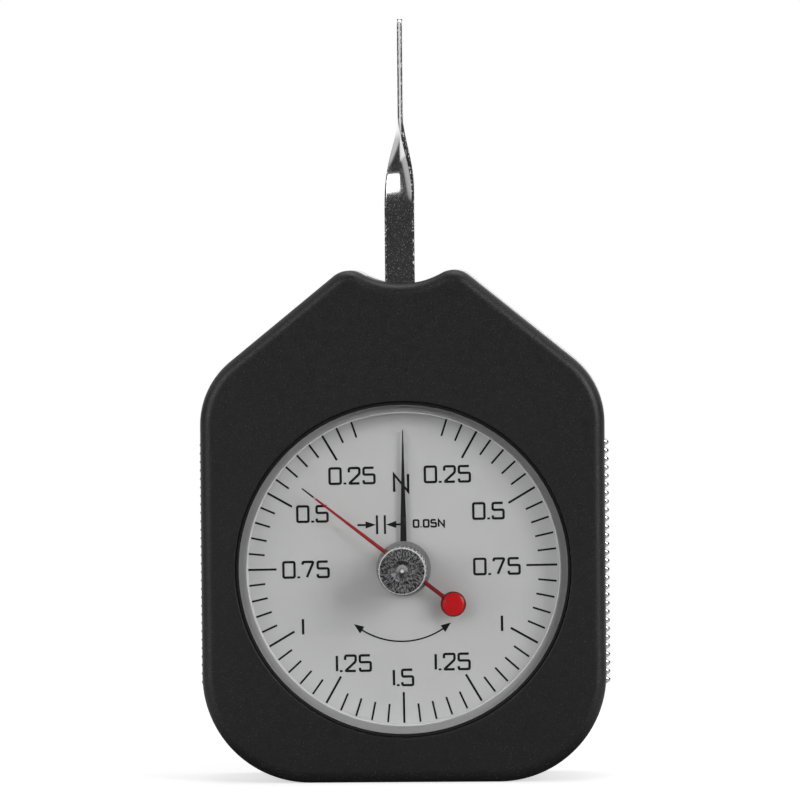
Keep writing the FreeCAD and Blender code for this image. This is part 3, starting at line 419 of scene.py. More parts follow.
class Finish(Steps):
    """A procedural material. The steps that return it can be chained."""

    def __init__(self, name, colour, roughness, metallic=0.0):
        self.material = bpy.data.materials.new(name)
        self.material.use_nodes = True
        super().__init__(self.material.node_tree)
        self.shader = self.nodes["Principled BSDF"]
        self.colour = colour
        self.set(Base_Color=colour, Roughness=roughness, Metallic=metallic)
        self.place = self.nodes.new("ShaderNodeTexCoord").outputs["Object"]

    def set(self, **values):
        """Set values on the shader. An underscore in a name stands for a blank."""
        for name, value in values.items():
            self.feed(self.shader.inputs[name.replace("_", " ")], value)
        return self

    def show(self, surface):
        """Show another shader in place of the usual one."""
        self.links.new(surface, self.nodes["Material Output"].inputs["Surface"])

    def mapped(self, scale, middle=(0, 0, 0)):
        """Places in millimetres from a point, divided by a scale for each axis."""
        mapping = self.nodes.new("ShaderNodeMapping")
        mapping.vector_type = "TEXTURE"
        mapping.inputs["Location"].default_value = Vector(middle) * MM
        mapping.inputs["Scale"].default_value = [part * MM for part in scale]
        self.links.new(self.place, mapping.inputs["Vector"])
        return mapping.outputs["Vector"]

    def away(self, middle=(0, 0, 0)):
        """Distances across, back and up from a point, in millimetres."""
        return self.axes(self.mapped((1, 1, 1), middle))

    def radius(self, middle=DIAL_MIDDLE):
        """Distance in millimetres from an axis that runs straight back through a point."""
        across, _, up = self.away(middle)
        return self.length(across, up)

    def grains(self, place, detail):
        """Noise over a place, with grains about one unit wide."""
        texture = self.nodes.new("ShaderNodeTexNoise")
        texture.inputs["Scale"].default_value = 1
        texture.inputs["Detail"].default_value = detail
        self.links.new(place, texture.inputs["Vector"])
        return texture.outputs["Fac"]

    def noise(self, size, detail=2.0, stretch=(1, 1, 1)):
        """Noise with grains of a size in millimetres, longer along an axis by its stretch."""
        return self.grains(self.mapped([size * part for part in stretch]), detail)

    def tint(self, factor, first, second):
        """Colour that runs from one to another with a factor. The last one made is what the shader takes."""
        mix = self.nodes.new("ShaderNodeMix")
        mix.data_type = "RGBA"
        sockets = [socket for socket in mix.inputs if socket.type == "RGBA"]
        self.feed(sockets[0], first)
        self.feed(sockets[1], second)
        self.links.new(factor, mix.inputs["Factor"])
        result = next(socket for socket in mix.outputs if socket.type == "RGBA")
        self.set(Base_Color=result)
        return result

    def shades(self, factor, amount):
        """Vary the colour by a share to both sides."""
        dark = tuple(part * (1 - amount) for part in self.colour)
        light = tuple(min(1, part * (1 + amount)) for part in self.colour)
        self.tint(factor, dark, light)
        return self

    def polish(self, factor, low, high):
        """Vary the roughness between two values."""
        return self.set(Roughness=self.spread(factor, 0.3, 0.7, low, high))

    def relief(self, height, depth):
        """Raise the surface by a height, over a depth in millimetres."""
        bump = self.nodes.new("ShaderNodeBump")
        bump.inputs["Strength"].default_value = 1
        bump.inputs["Distance"].default_value = depth * MM
        self.links.new(height, bump.inputs["Height"])
        return self.set(Normal=bump.outputs["Normal"])


def black_paint():
    """Matt black paint with a fine grain and a few paler specks."""
    finish = Finish("black_paint", (0.014, 0.014, 0.0143), 0.5)
    grain = finish.noise(0.16, 3)
    paint = finish.tint(finish.noise(9, 3), (0.0128, 0.0128, 0.013), (0.0155, 0.0155, 0.0157))
    finish.tint(finish.spread(finish.noise(0.2, 1), 0.63, 0.71), paint, (0.06, 0.06, 0.06))
    finish.polish(finish.noise(1.2, 4), 0.38, 0.47)
    return finish.relief(grain, 0.012).material


def chrome(name, colour, low, high, streak):
    """Plating, polished between two roughnesses along a streak, with fine grey dust on it."""
    finish = Finish(name, colour, 0.1, 1.0)
    finish.polish(finish.noise(0.5, 4, streak), low, high)
    finish.shades(finish.noise(3.0, 3), 0.05)
    finish.set(Metallic=finish.spread(finish.noise(0.12, 1), 0.62, 0.72, 1.0, 0.6))
    return finish.relief(finish.noise(0.3, 3, streak), 0.0012).material


def sheared_edge_painted_reflection():
    """The strip's plated edges: left rough by the shears, painted near white as a painted reflection of the
    bright room, with a dark mottled line along both corners.
    """
    # Painted reflection: the plated edge is painted near white and not metallic.
    finish = Finish("sheared_edge_painted_reflection", (0.97, 0.97, 0.97), 0.4, 0.0)
    across, _, _ = finish.away((-0.12, 0, 0))
    pits = finish.noise(0.22, 3, (1, 1, 1.5))
    corner = finish.spread(finish.math("ABSOLUTE", across), 0.10, 0.20)
    line = finish.math("MULTIPLY", corner, finish.spread(pits, 0.38, 0.44))
    finish.tint(line, finish.colour, (0.015, 0.015, 0.015))
    finish.polish(pits, 0.3, 0.5)
    return finish.relief(pits, 0.05).material


def silver_dial():
    finish = Finish("silver_dial", (0.64, 0.64, 0.64), 0.55, 0.1)
    finish.shades(finish.noise(0.09, 2), 0.07)
    finish.polish(finish.noise(0.6, 3), 0.5, 0.62)
    return finish.relief(finish.noise(0.12, 2), 0.004).material


def ink():
    finish = Finish("ink", (0.006, 0.006, 0.006), 0.6)
    finish.set(Specular_IOR_Level=0.1)
    finish.shades(finish.noise(0.15, 2), 0.35)
    return finish.relief(finish.noise(0.1, 2), 0.002).material


def grey_satin():
    """The ring behind the crystal: satin grey, with a painted highlight that leaves its inner chamfer
    lighter.
    """
    finish = Finish("grey_satin", (0.64, 0.64, 0.64), 0.5)
    radius = finish.radius()
    grain = finish.noise(0.12, 3)
    body = finish.tint(grain, (0.56, 0.56, 0.56), (0.72, 0.72, 0.72))
    # Painted highlight: the inner chamfer is painted lighter than the ring.
    edge = finish.spread(radius, RING_INNER + 0.15, RING_INNER + 0.09)
    finish.tint(edge, body, (0.74, 0.74, 0.74))
    waves = finish.math("SINE", finish.math("MULTIPLY", radius, 60))
    return finish.relief(finish.math("ADD", finish.math("MULTIPLY", waves, 0.3), grain), 0.003).material


def spun_metal():
    """Knob metal: a rough face whose marks run outwards, a cone painted lighter above and darker below as
    painted shade, and a pip and narrow rim painted near white as painted highlights.
    """
    colour = (0.55, 0.55, 0.56)
    finish = Finish("knob_metal", colour, 0.3, 1.0)
    across, _, up = finish.away(DIAL_MIDDLE)
    radius = finish.length(across, up)
    spoke = finish.nodes.new("ShaderNodeCombineXYZ")
    for axis, part in (("X", across), ("Z", up)):
        outwards = finish.math("DIVIDE", part, radius)
        finish.links.new(finish.math("MULTIPLY", outwards, 15.0), spoke.inputs[axis])
    finish.links.new(finish.math("MULTIPLY", radius, 1.9), spoke.inputs["Y"])
    marks = finish.grains(spoke.outputs[0], 3)
    fine = finish.noise(0.13, 2)
    mottle = finish.math("ADD", finish.math("MULTIPLY", marks, 0.6), finish.math("MULTIPLY", fine, 0.4))
    face = finish.tint(finish.spread(mottle, 0.44, 0.60), tuple(part * 0.05 for part in colour), colour)
    # Painted shade: the cone is painted lighter on its upper half and darker on its lower half.
    painted_shading = finish.spread(up, -0.25, 0.25, 0.1, 0.8)
    cone = finish.math("MULTIPLY", finish.spread(radius, 0.95, 0.80), painted_shading)
    face = finish.tint(cone, face, (0.50, 0.50, 0.50))
    # Painted highlights: the narrow rim, mottled along its flutes, and the pip are painted near white.
    rim = finish.math("MULTIPLY", finish.spread(radius, 3.42, 3.46), finish.spread(radius, 3.64, 3.60))
    rim = finish.math("MULTIPLY", rim, finish.spread(fine, 0.30, 0.50, 0.45, 1.0))
    lit = finish.math("MAXIMUM", rim, finish.spread(radius, 0.32, 0.24))
    finish.tint(lit, face, (0.97, 0.97, 0.97))
    # The painted highlights and the painted shade of the cone are made barely metallic so that their painted
    # light shows.
    plain = finish.math("MAXIMUM", lit, finish.math("MULTIPLY", cone, 0.35))
    finish.set(Metallic=finish.spread(plain, 0, 1, 1.0, 0.1))
    finish.polish(fine, 0.3, 0.5)
    return finish.relief(mottle, 0.10).material


def black_enamel():
    finish = Finish("black_enamel", (0.005, 0.005, 0.005), 0.35)
    finish.set(Coat_Weight=0.1, Coat_Roughness=0.08, Specular_IOR_Level=0.15)
    finish.shades(finish.noise(0.4, 3), 0.14)
    finish.polish(finish.noise(0.3, 2), 0.35, 0.47)
    return finish.relief(finish.noise(0.35, 2), 0.006).material


def red_enamel():
    """Glossy red of the round weight, with painted shade that darkens it to a dark line at its rim."""
    finish = Finish("red_enamel", (0.68, 0.003, 0.006), 0.2)
    finish.set(Coat_Weight=0.3, Coat_Roughness=0.04, Specular_IOR_Level=0.2)
    x, z = turn_about_dial([(RED_OFFSET, -WEIGHT_REACH)], PEAK_ANGLE)[0]
    red = finish.tint(finish.noise(0.7, 3), (0.55, 0.001, 0.004), (0.80, 0.005, 0.010))
    # Painted shade: the weight is painted darker towards its rim.
    rim = finish.spread(finish.radius((x, 0, DIAL_Z + z)), WEIGHT_RADIUS - 0.29, WEIGHT_RADIUS - 0.11)
    finish.tint(rim, red, (0.03, 0.0, 0.001))
    return finish.relief(finish.noise(0.5, 2), 0.02).material


def red_blade():
    """Red enamel whose tip is black, with a short pale stretch between the two, and painted shade that
    darkens its edges.
    """
    finish = Finish("red_blade", (0.40, 0.008, 0.016), 0.3)
    finish.set(Coat_Weight=0.1, Coat_Roughness=0.15, Specular_IOR_Level=0.2)
    across, _, up = finish.away(DIAL_MIDDLE)
    radius = finish.length(across, up)
    swung_across = finish.math("MULTIPLY", across, math.cos(PEAK_ANGLE))
    swung_across = finish.math("SUBTRACT", swung_across, finish.math("MULTIPLY", up, math.sin(PEAK_ANGLE)))
    aside = finish.math("ABSOLUTE", finish.math("SUBTRACT", swung_across, RED_OFFSET))
    red = finish.tint(finish.noise(0.3, 2), (0.30, 0.002, 0.006), (0.48, 0.006, 0.012))
    # Painted shade: the blade is painted darker towards both long edges.
    red = finish.tint(finish.spread(aside, 0.15, 0.24), red, (0.09, 0.001, 0.002))
    pale = finish.tint(finish.spread(radius, PALE_START, PALE_START + 0.15), red, (0.42, 0.36, 0.36))
    finish.tint(finish.spread(radius, TIP_START, TIP_START + 0.15), pale, (0.012, 0.012, 0.012))
    return finish.relief(finish.noise(0.25, 2), 0.004).material


def rubber():
    finish = Finish("rubber", (0.006, 0.006, 0.006), 0.7)
    finish.shades(finish.noise(0.4, 2), 0.3)
    return finish.relief(finish.noise(0.2, 3), 0.01).material


def clear_window():
    """Clear pane that lamps shine through, so that the dial behind it is lit as the case is."""
    finish = Finish("clear_window", (0.98, 0.985, 0.985), 0.0)
    finish.set(Transmission_Weight=1.0, IOR=1.45)
    finish.tint(finish.noise(4.0, 2), (0.975, 0.98, 0.98), (0.99, 0.99, 0.99))
    clear = finish.nodes.new("ShaderNodeBsdfTransparent").outputs[0]
    shadow = finish.nodes.new("ShaderNodeLightPath").outputs["Is Shadow Ray"]
    finish.show(finish.either(shadow, finish.shader.outputs[0], clear))
    return finish.material


def machined(name, colour, low=0.22, high=0.4):
    """Bare metal with the fine marks of turning and stamping."""
    finish = Finish(name, colour, 0.3, 1.0)
    finish.polish(finish.noise(0.4, 3, (4, 1, 1)), low, high)
    finish.shades(finish.noise(2.5, 3), 0.12)
    return finish.relief(finish.noise(0.15, 3, (5, 1, 1)), 0.004).material


# Pieces of the case


def rounding(radius, steps):
    """Inset and depth along a quarter round from the side of a plate onto its front face."""
    angles = [math.pi / 2 * i / steps for i in range(steps + 1)]
    return [(radius * (1 - math.cos(a)), radius * (1 - math.sin(a))) for a in angles]


def front_shell(finish):
    """Black shell with rounded front edges and a round window."""
    side_row, face_row = 4.0, FRONT_ROUNDING + 0.3
    outer = [(SEAM, FRONT_DEPTH), (0.0, FRONT_DEPTH - SEAM), (0.0, side_row)]
    outer += rounding(FRONT_ROUNDING, 12) + [(face_row, 0.0)]
    loops = [at_depth(case_outline(inset), depth) for inset, depth in outer]
    loops += [at_depth(window_outline(radius), depth) for radius, depth in window_edge()]
    inner = [(CASE_WALL, FACE_THICKNESS), (CASE_WALL, FRONT_DEPTH)]
    loops += [at_depth(case_outline(inset), depth) for inset, depth in inner]
    shell = new_mesh("case_front_shell", skin(loops, closed=True))
    dress(shell, "case", "black_case", finish, "front_case")


def window_edge():
    """Radius and depth from the front face over a small rounded rim into the window."""
    edge = [(WINDOW_RADIUS + WINDOW_RIM + 0.4, 0.0)]
    for i in range(5):
        angle = math.pi / 2 * i / 4
        edge.append((WINDOW_RADIUS + WINDOW_RIM * (1 - math.sin(angle)), WINDOW_RIM * (1 - math.cos(angle))))
    return edge + [(WINDOW_RADIUS, FACE_THICKNESS)]


def grip_shell(finish):
    """Chromed band with the arm's slot in its saddle and a row of ribs down each side."""
    edges = [(SEAM, FRONT_DEPTH), (0.0, FRONT_DEPTH + SEAM), (0.0, BACK_DEPTH - SEAM), (SEAM, BACK_DEPTH)]
    edges += [(CASE_WALL, BACK_DEPTH), (CASE_WALL, FRONT_DEPTH)]
    band = new_mesh("grip_band", skin([at_depth(case_outline(i), d) for i, d in edges], closed=True))
    low = (-ARM_SLOT_HALF_WIDTH, FRONT_DEPTH - OVERCUT, ARM_SLOT_BOTTOM)
    high = (ARM_SLOT_HALF_WIDTH, FRONT_DEPTH + ARM_SLOT_DEPTH, HORN[1] + HORN_RADIUS + OVERCUT)
    cut(band, [block("arm_slot", low, high)])
    dress(band, "case", "chromed_case", finish, "grip_body")
    ribs = new_mesh("grip_ribs", joined([rib(side, row) for side in (-1, 1) for row in range(RIB_COUNT)]))
    dress(ribs, "case", "chromed_case", finish)


def rib(side, row):
    """One rib: a narrow crest between two flanks, with sloping ends. Its foot is sunk in the band."""
    middle = RIB_START + RIB_PITCH * row
    foot, crest, sink = RIB_FOOT / 2, RIB_CREST / 2, 0.3
    rows = [(RIB_FRONT + run, rise) for run, rise in RIB_RAMP]
    rows += [(RIB_BACK - run, rise) for run, rise in reversed(RIB_RAMP)]
    loops = []
    for depth, rise in rows:
        top = RIB_HEIGHT * rise
        low = top * 0.82
        half = [(-sink, foot), (0.0, foot), (low, crest * 1.5), (top, crest * 0.5)]
        section = [(out, -up) for out, up in half] + half[::-1]
        loops.append(at_depth([(side * (HALF_WIDTH + out), middle + up) for out, up in section], depth))
    return skin(loops, capped=True)


def back_plate(finish):
    """Flat back with a bevelled edge and four counterbored holes."""
    edges = [(SEAM, BACK_DEPTH), (0.0, BACK_DEPTH + SEAM), (0.0, BODY_DEPTH - BACK_BEVEL)]
    edges += [(BACK_BEVEL, BODY_DEPTH)]
    plate = new_mesh("back_plate", skin([at_depth(case_outline(i), d) for i, d in edges], capped=True))
    bore, counterbore = SCREW_RADIUS + SCREW_CLEARANCE, SCREW_HEAD_RADIUS + SCREW_CLEARANCE
    seat = BODY_DEPTH - SCREW_HEAD_HEIGHT
    hole = [(bore, BACK_DEPTH - OVERCUT), (bore, seat), (counterbore, seat)]
    hole.append((counterbore, BODY_DEPTH + OVERCUT))
    tools = []
    for centre in SCREWS:
        loops = [at_depth(circle(radius, 40, centre), depth) for radius, depth in hole]
        tools.append(new_mesh("hole", skin(loops, capped=True)))
    cut(plate, tools)
    dress(plate, "case", "black_case", finish, "back_cover")


def back_screws(finish):
    """Four slotted screws in the back plate."""
    top = BODY_DEPTH - 0.05
    face = BODY_DEPTH - SCREW_HEAD_HEIGHT
    profile = [(0.0, SCREW_TIP_DEPTH), (SCREW_RADIUS * 0.7, SCREW_TIP_DEPTH)]
    profile += [(SCREW_RADIUS, SCREW_TIP_DEPTH + 0.3), (SCREW_RADIUS, face), (SCREW_HEAD_RADIUS, face)]
    profile += [(SCREW_HEAD_RADIUS, top - 0.2), (SCREW_HEAD_RADIUS - 0.2, top), (0.0, top)]
    half, reach = SCREW_SLOT_WIDTH / 2, SCREW_HEAD_RADIUS + OVERCUT
    shapes, tools = [], []
    for x, z in SCREWS:
        shapes.append(turned(profile, 40, (x, z), closed=False))
        low = (x - reach, top - SCREW_SLOT_DEPTH, z - half)
        tools.append(block("slot", low, (x + reach, top + OVERCUT, z + half)))
    screws = new_mesh("back_screws", joined(shapes))
    cut(screws, tools)
    dress(screws, "case", "steel", finish)


# Window and dial


def window_pieces(clear, black, grey, silver):
    """Crystal, its gasket, the grey ring behind it and the dial."""
    bevel = 0.2
    profile = [(CRYSTAL_HOLE, CRYSTAL_FRONT), (CRYSTAL_RADIUS - bevel, CRYSTAL_FRONT)]
    profile += [(CRYSTAL_RADIUS, CRYSTAL_FRONT + bevel), (CRYSTAL_RADIUS, CRYSTAL_BACK)]
    profile += [(CRYSTAL_HOLE, CRYSTAL_BACK)]
    dress(new_mesh("window_pane", turned(profile)), "case", "crystal", clear, "crystal")
    inner, outer = CRYSTAL_RADIUS + 0.02, WINDOW_RADIUS - 0.02
    profile = [(inner, 0.62), (inner + 0.1, 0.6), (outer - 0.1, 0.6), (outer, 0.7)]
    profile += [(outer, CRYSTAL_BACK), (inner, CRYSTAL_BACK)]
    dress(new_mesh("window_seal", turned(profile)), "case", "gasket", black, "crystal_gasket")
    flange, chamfer = FACE_THICKNESS + 0.02, 0.14
    profile = [(RING_INNER + chamfer, CRYSTAL_BACK), (outer, CRYSTAL_BACK), (outer, flange)]
    profile += [(FLANGE_RADIUS, flange), (FLANGE_RADIUS, DIAL_FRONT), (RING_INNER, DIAL_FRONT)]
    profile += [(RING_INNER, CRYSTAL_BACK + chamfer), (RING_INNER + 0.04, CRYSTAL_BACK + 0.06)]
    dress(new_mesh("ring_behind_window", turned(profile)), "case", "grey_ring", grey, "dial_ring")
    sheet = washer(1.2, FLANGE_RADIUS, DIAL_FRONT, DIAL_BACK)
    dress(new_mesh("dial_sheet", sheet), "case", "dial_face", silver, "dial_plate")


# Print on the dial


def ribbon(path, width, closed=False):
    """A line of print of even width along a path of points (across, up) from the dial's middle."""
    count = len(path)
    loops = []
    for i, point in enumerate(path):
        before = path[i - 1] if i or closed else None
        after = path[(i + 1) % count] if i < count - 1 or closed else None
        runs = [(point[0] - before[0], point[1] - before[1])] if before else []
        runs += [(after[0] - point[0], after[1] - point[1])] if after else []
        runs = [(run[0] / math.hypot(*run), run[1] / math.hypot(*run)) for run in runs]
        along = (sum(run[0] for run in runs), sum(run[1] for run in runs))
        length = math.hypot(*along)
        along = (along[0] / length, along[1] / length)
        half = width / 2 / max(0.4, along[0] * runs[0][0] + along[1] * runs[0][1])
        offset = (-along[1] * half, along[0] * half)
        left = (point[0] + offset[0], DIAL_Z + point[1] + offset[1])
        right = (point[0] - offset[0], DIAL_Z + point[1] - offset[1])
        section = [(left, PRINT_FRONT), (right, PRINT_FRONT), (right, PRINT_BACK), (left, PRINT_BACK)]
        loops.append([spot(x, depth, z) for (x, z), depth in section])
    return skin(loops, closed=closed, capped=not closed)


def patch(corners):
    """A solid filled shape of print through corners (across, up) from the dial's middle."""
    ring = [(x, DIAL_Z + z) for x, z in corners]
    return skin([at_depth(ring, PRINT_FRONT), at_depth(ring, PRINT_BACK)], capped=True)


def rounded(points, radius, closed=False):
    """A path whose inner corners are small arcs."""
    out = []
    count = len(points)
    for i, point in enumerate(points):
        if not closed and i in (0, count - 1):
            out.append(point)
            continue
        before, after = points[i - 1], points[(i + 1) % count]
        ends = []
        for other in (before, after):
            run = (other[0] - point[0], other[1] - point[1])
            reach = min(radius, math.hypot(*run) / 2) / math.hypot(*run)
            ends.append((point[0] + run[0] * reach, point[1] + run[1] * reach))
        for step in range(5):
            t = step / 4
            blend = [(1 - t) ** 2, 2 * t * (1 - t), t**2]
            spots = (ends[0], point, ends[1])
            out.append(tuple(sum(share * end[axis] for share, end in zip(blend, spots)) for axis in (0, 1)))
    kept = out[:1]
    for place in out[1:]:
        if math.dist(place, kept[-1]) > 1e-4:
            kept.append(place)
    return kept


# Strokes of the figures in a cell one unit high: a width and a list of paths. True marks a closed path.
GLYPHS = {
    "0": (0.72, [([(0, 0), (0.72, 0), (0.72, 1), (0, 1)], True)]),
    "1": (0.0, [([(0, 0), (0, 1)], False)]),
    "2": (0.68, [([(0, 0.72), (0, 1), (0.68, 1), (0.68, 0.62), (0, 0), (0.68, 0)], False)]),
    "5": (0.70, [([(0.66, 1), (0, 1), (0, 0.56), (0.70, 0.56), (0.70, 0), (0, 0), (0, 0.2)], False)]),
    "7": (0.70, [([(0, 0.82), (0, 1), (0.70, 1), (0.26, 0)], False)]),
    "N": (0.80, [([(0, 0), (0, 1), (0.80, 0), (0.80, 1)], False)]),
    ".": (0.0, [([(0, -0.06), (0, 0.07)], False)]),
}
GLYPH_GAP = 0.27

# Middles of the figures on the right half of the dial, across and up. Those on the left mirror them.
FIGURE_PLACES = [
    ("0.25", 7.33, 14.2),
    ("0.5", 13.53, 8.44),
    ("0.75", 14.68, -0.1),
    ("1", 15.3, -8.89),
    ("1.25", 7.6, -14.64),
]


def figure(text, middle, height, stroke, corner=0.11, gap=GLYPH_GAP):
    """Strokes of one number or unit, centred on a point (across, up) from the dial's middle."""
    cell = height - stroke
    widths = [GLYPHS[sign][0] for sign in text]
    total = sum(widths) + gap * (len(text) - 1)
    left = middle[0] - total * cell / 2
    shapes = []
    for sign, width in zip(text, widths):
        for points, closed in GLYPHS[sign][1]:
            placed = [(left + x * cell, middle[1] - cell / 2 + z * cell) for x, z in points]
            soft = placed if sign == "N" else rounded(placed, corner * cell, closed)
            shapes.append(ribbon(soft, stroke if sign != "." else stroke * 1.15, closed))
        left += (width + gap) * cell
    return shapes


def arrow(start, end, width, head, half_head):
    """A straight arrow: its line and its filled head."""
    run = (end[0] - start[0], end[1] - start[1])
    length = math.hypot(*run)
    along = (run[0] / length, run[1] / length)
    neck = (end[0] - along[0] * head, end[1] - along[1] * head)
    side = (-along[1] * half_head, along[0] * half_head)
    corners = [end, (neck[0] + side[0], neck[1] + side[1]), (neck[0] - side[0], neck[1] - side[1])]
    return [ribbon([start, neck], width), patch(corners)]


def print_place(shapes):
    """Print as the dial sits in the case: turned a little, and shifted to the left and up."""
    return moved(swung(joined(shapes), PRINT_TURN), *PRINT_SHIFT)


def division_mark():
    """Two lines one division apart, with an arrow towards them from either side."""
    level = 6.6
    marks = [ribbon([(x, 5.15), (x, 8.05)], 0.33) for x in (-3.62, -2.41)]
    for start, end in ((-6.63, -3.78), (0.4, -2.25)):
        marks += arrow((start, level), (end, level), 0.31, 1.6, 0.56)
    return marks


def two_way_arrow():
    """A bow below the dial's middle with a filled head at both ends. Its angles are from 6 o'clock."""
    reach, steps, line_end = 11.4, 32, 33
    neck, tip = math.radians(line_end), math.radians(41)
    swing = [math.radians(-line_end + 2 * line_end * i / steps) for i in range(steps + 1)]
    shapes = [ribbon([(reach * math.sin(a), -reach * math.cos(a)) for a in swing], 0.24)]
    for side in (-1, 1):
        base = [((reach + r) * math.sin(neck) * side, -(reach + r) * math.cos(neck)) for r in (-0.62, 0.62)]
        shapes.append(patch([(reach * math.sin(tip) * side, -reach * math.cos(tip))] + base))
    return shapes


def dial_print(finish):
    """Scale lines, figures, the mark that shows one division, and a two-way arrow below the middle."""
    lines = []
    for degrees in range(FIRST_LINE, 181, LINE_STEP):
        inner, width = LONG_LINE if degrees % LONG_LINE_STEP == 0 else SHORT_LINE
        for side in (-1, 1) if degrees < 180 else (1,):
            stroke = turn_about_dial([(0, inner), (0, RING_INNER)], side * math.radians(degrees))
            lines.append(ribbon(stroke, width))
    dress(new_mesh("dial_lines", print_place(lines)), "case", "pointer_black", finish)

    shapes = []
    for text, across, up in FIGURE_PLACES:
        for side in (-1, 1):
            shapes += figure(text, (side * across, up), FIGURE_HEIGHT, FIGURE_STROKE)
    shapes += figure("1.5", (0, -16.96), FIGURE_HEIGHT, FIGURE_STROKE)
    shapes += figure("N", (0.2, 12.96), 3.1, 0.40)
    shapes += figure("0.05N", (4.35, 6.68), 1.34, 0.29, corner=0.14, gap=0.38)
    dress(new_mesh("dial_figures", print_place(shapes)), "case", "pointer_black", finish)

    marks = division_mark() + two_way_arrow()
    dress(new_mesh("dial_marks", print_place(marks)), "case", "pointer_black", finish)


# Pointers


def bar(stations, section):
    """A bar along 12 o'clock through stations of a distance and a width. Its section takes a width."""
    loops = [[spot(x, depth, DIAL_Z + up) for x, depth in section(width)] for up, width in stations]
    return skin(loops, capped=True)


def ridged(front, back, ridge, root):
    """Section of a blade with a ridge down its middle, less high where the blade is narrower."""

    def corners(width):
        half = width / 2
        rise = ridge * width / root
        return [(-half, back), (half, back), (half, front), (0, front - rise), (-half, front)]

    return corners


def black_hand(satin, black):
    """Satin disc, and behind it the long black blade with the pin that pushes the red pointer."""
    disc = [(0.62, 3.6), (4.05, 3.6), (4.15, 3.63), (4.2, 3.7), (4.2, HAND_FRONT), (1.1, HAND_FRONT)]
    disc += [(1.1, HAND_BACK), (0.62, HAND_BACK)]
    dress(new_mesh("hand_disc", turned(disc, 128)), "pointer", "hub_grey", satin, "pointer_hub")
    stations = [(1.2, 0.95), (4.6, 0.95), (8, 0.82), (14, 0.5), (19, 0.26), (21.1, 0.15), (21.3, 0.08)]
    blade = bar(stations, ridged(HAND_FRONT, HAND_BACK, 0.16, 0.95))
    ring = washer(1.12, 2.6, HAND_FRONT, HAND_BACK, 64)
    pin = [(0, 3.07), (0.15, 3.07), (0.25, 3.17), (0.25, 4.2), (0, 4.2)]
    pin = turned(pin, 16, (0, DIAL_Z + 7.5), closed=False)
    hand = new_mesh("hand_blade", joined([blade, ring, pin]), 20)
    dress(hand, "pointer", "pointer_black", black, "main_pointer")


def red_hand(blade_finish, weight_finish):
    """Ridged red blade with a black tip, and its round weight."""
    stations = [(1.2, 0.60), (5, 0.57), (11, 0.43), (17.2, 0.3), (18.8, 0.24), (19.7, 0.2), (19.9, 0.12)]
    blade = moved(bar(stations, ridged(RED_FRONT, RED_BACK, 0.15, 0.6)), RED_OFFSET)
    stations = [(-1.2, 0.64), (-7.0, 0.62), (-7.7, 0.8)]
    tail = moved(bar(stations, ridged(RED_FRONT, RED_BACK, 0.12, 0.64)), RED_OFFSET)
    eye = washer(1.12, 1.5, RED_FRONT, RED_BACK, 64)
    hand = new_mesh("red_hand", swung(joined([blade, tail, eye]), PEAK_ANGLE), 20)
    dress(hand, "peak", "pointer_red", blade_finish, "peak_pointer")
    dome = [(0, 2.26), (0.6, 2.27), (1.1, 2.31), (1.5, 2.39), (1.78, 2.52), (1.92, 2.68)]
    dome += [(WEIGHT_RADIUS, 2.8), (WEIGHT_RADIUS, RED_BACK), (0, RED_BACK)]
    weight = turned(dome, 64, (RED_OFFSET, DIAL_Z - WEIGHT_REACH), closed=False)
    weight = new_mesh("red_weight", swung(weight, PEAK_ANGLE), 50)
    dress(weight, "peak", "pointer_red", weight_finish, "peak_counterweight")


def knob(finish):
    """Knob with a fluted rim, a narrow chamfer and a spun face with a low cone and a pip."""
    count = KNOB_FLUTES * 8
    front, back, floor = KNOB_FRONT, KNOB_BACK, KNOB_FLOOR

    def ring(radius, flute):
        """A ring of points that dips inwards at each flute by a depth."""
        points = []
        for i in range(count):
            angle = 2 * math.pi * i / count
            dip = max(0.0, math.cos(angle * KNOB_FLUTES)) ** 1.5 * flute
            reach = radius - dip
            points.append((reach * math.cos(angle), DIAL_Z + reach * math.sin(angle)))
        return points

    profile = [(0.0, front, 0), (0.16, front + 0.03, 0), (0.28, front + 0.14, 0), (0.34, front + 0.24, 0)]
    profile += [(0.85, front + 0.50, 0), (1.0, front + 0.52, 0), (1.5, front + 0.06, 0), (1.6, front, 0)]
    radius = 1.75
    while radius < 3.3:
        profile.append((radius, front + 0.012 * (len(profile) % 2), 0))
        radius += 0.12
    profile += [(3.38, front, 0), (3.43, front + 0.01, 0), (3.46, front + 0.05, 0), (3.56, front + 0.2, 0.02)]
    profile += [(3.66, front + 0.3, 0.14), (3.68, front + 0.8, 0.24), (3.74, back - 0.4, 0.24)]
    profile += [(KNOB_RADIUS, back, 0.12), (KNOB_BORE, back, 0), (KNOB_BORE, floor, 0), (0, floor, 0)]
    loops = [at_depth(ring(radius, flute), depth) for radius, depth, flute in profile]
    piece = new_mesh("spun_knob", skin(loops), 40)
    dress(piece, "peak", "knob_metal", finish, "reset_knob")


# Arm


def share_past(reach, start, length):
    """Share of a stretch of the strip that a distance from the pivot has passed, from 0 to 1."""
    return min(1.0, max(0.0, (reach - start) / length))


def arm_twist(reach):
    """Turn of the strip about its own length, at a distance from the pivot."""
    share = share_past(reach, TWIST_START, TWIST_LENGTH)
    eased = share + 0.55 * (share * share * (3 - 2 * share) - share)
    return -math.pi / 2 * eased


def arm_lean(reach):
    """Place across of the strip's middle: to the left as it leaves the case, and less so past the twist."""
    return -0.42 * share_past(reach, 3.0, 5.0) + 0.30 * share_past(reach, TWIST_START, TWIST_LENGTH)


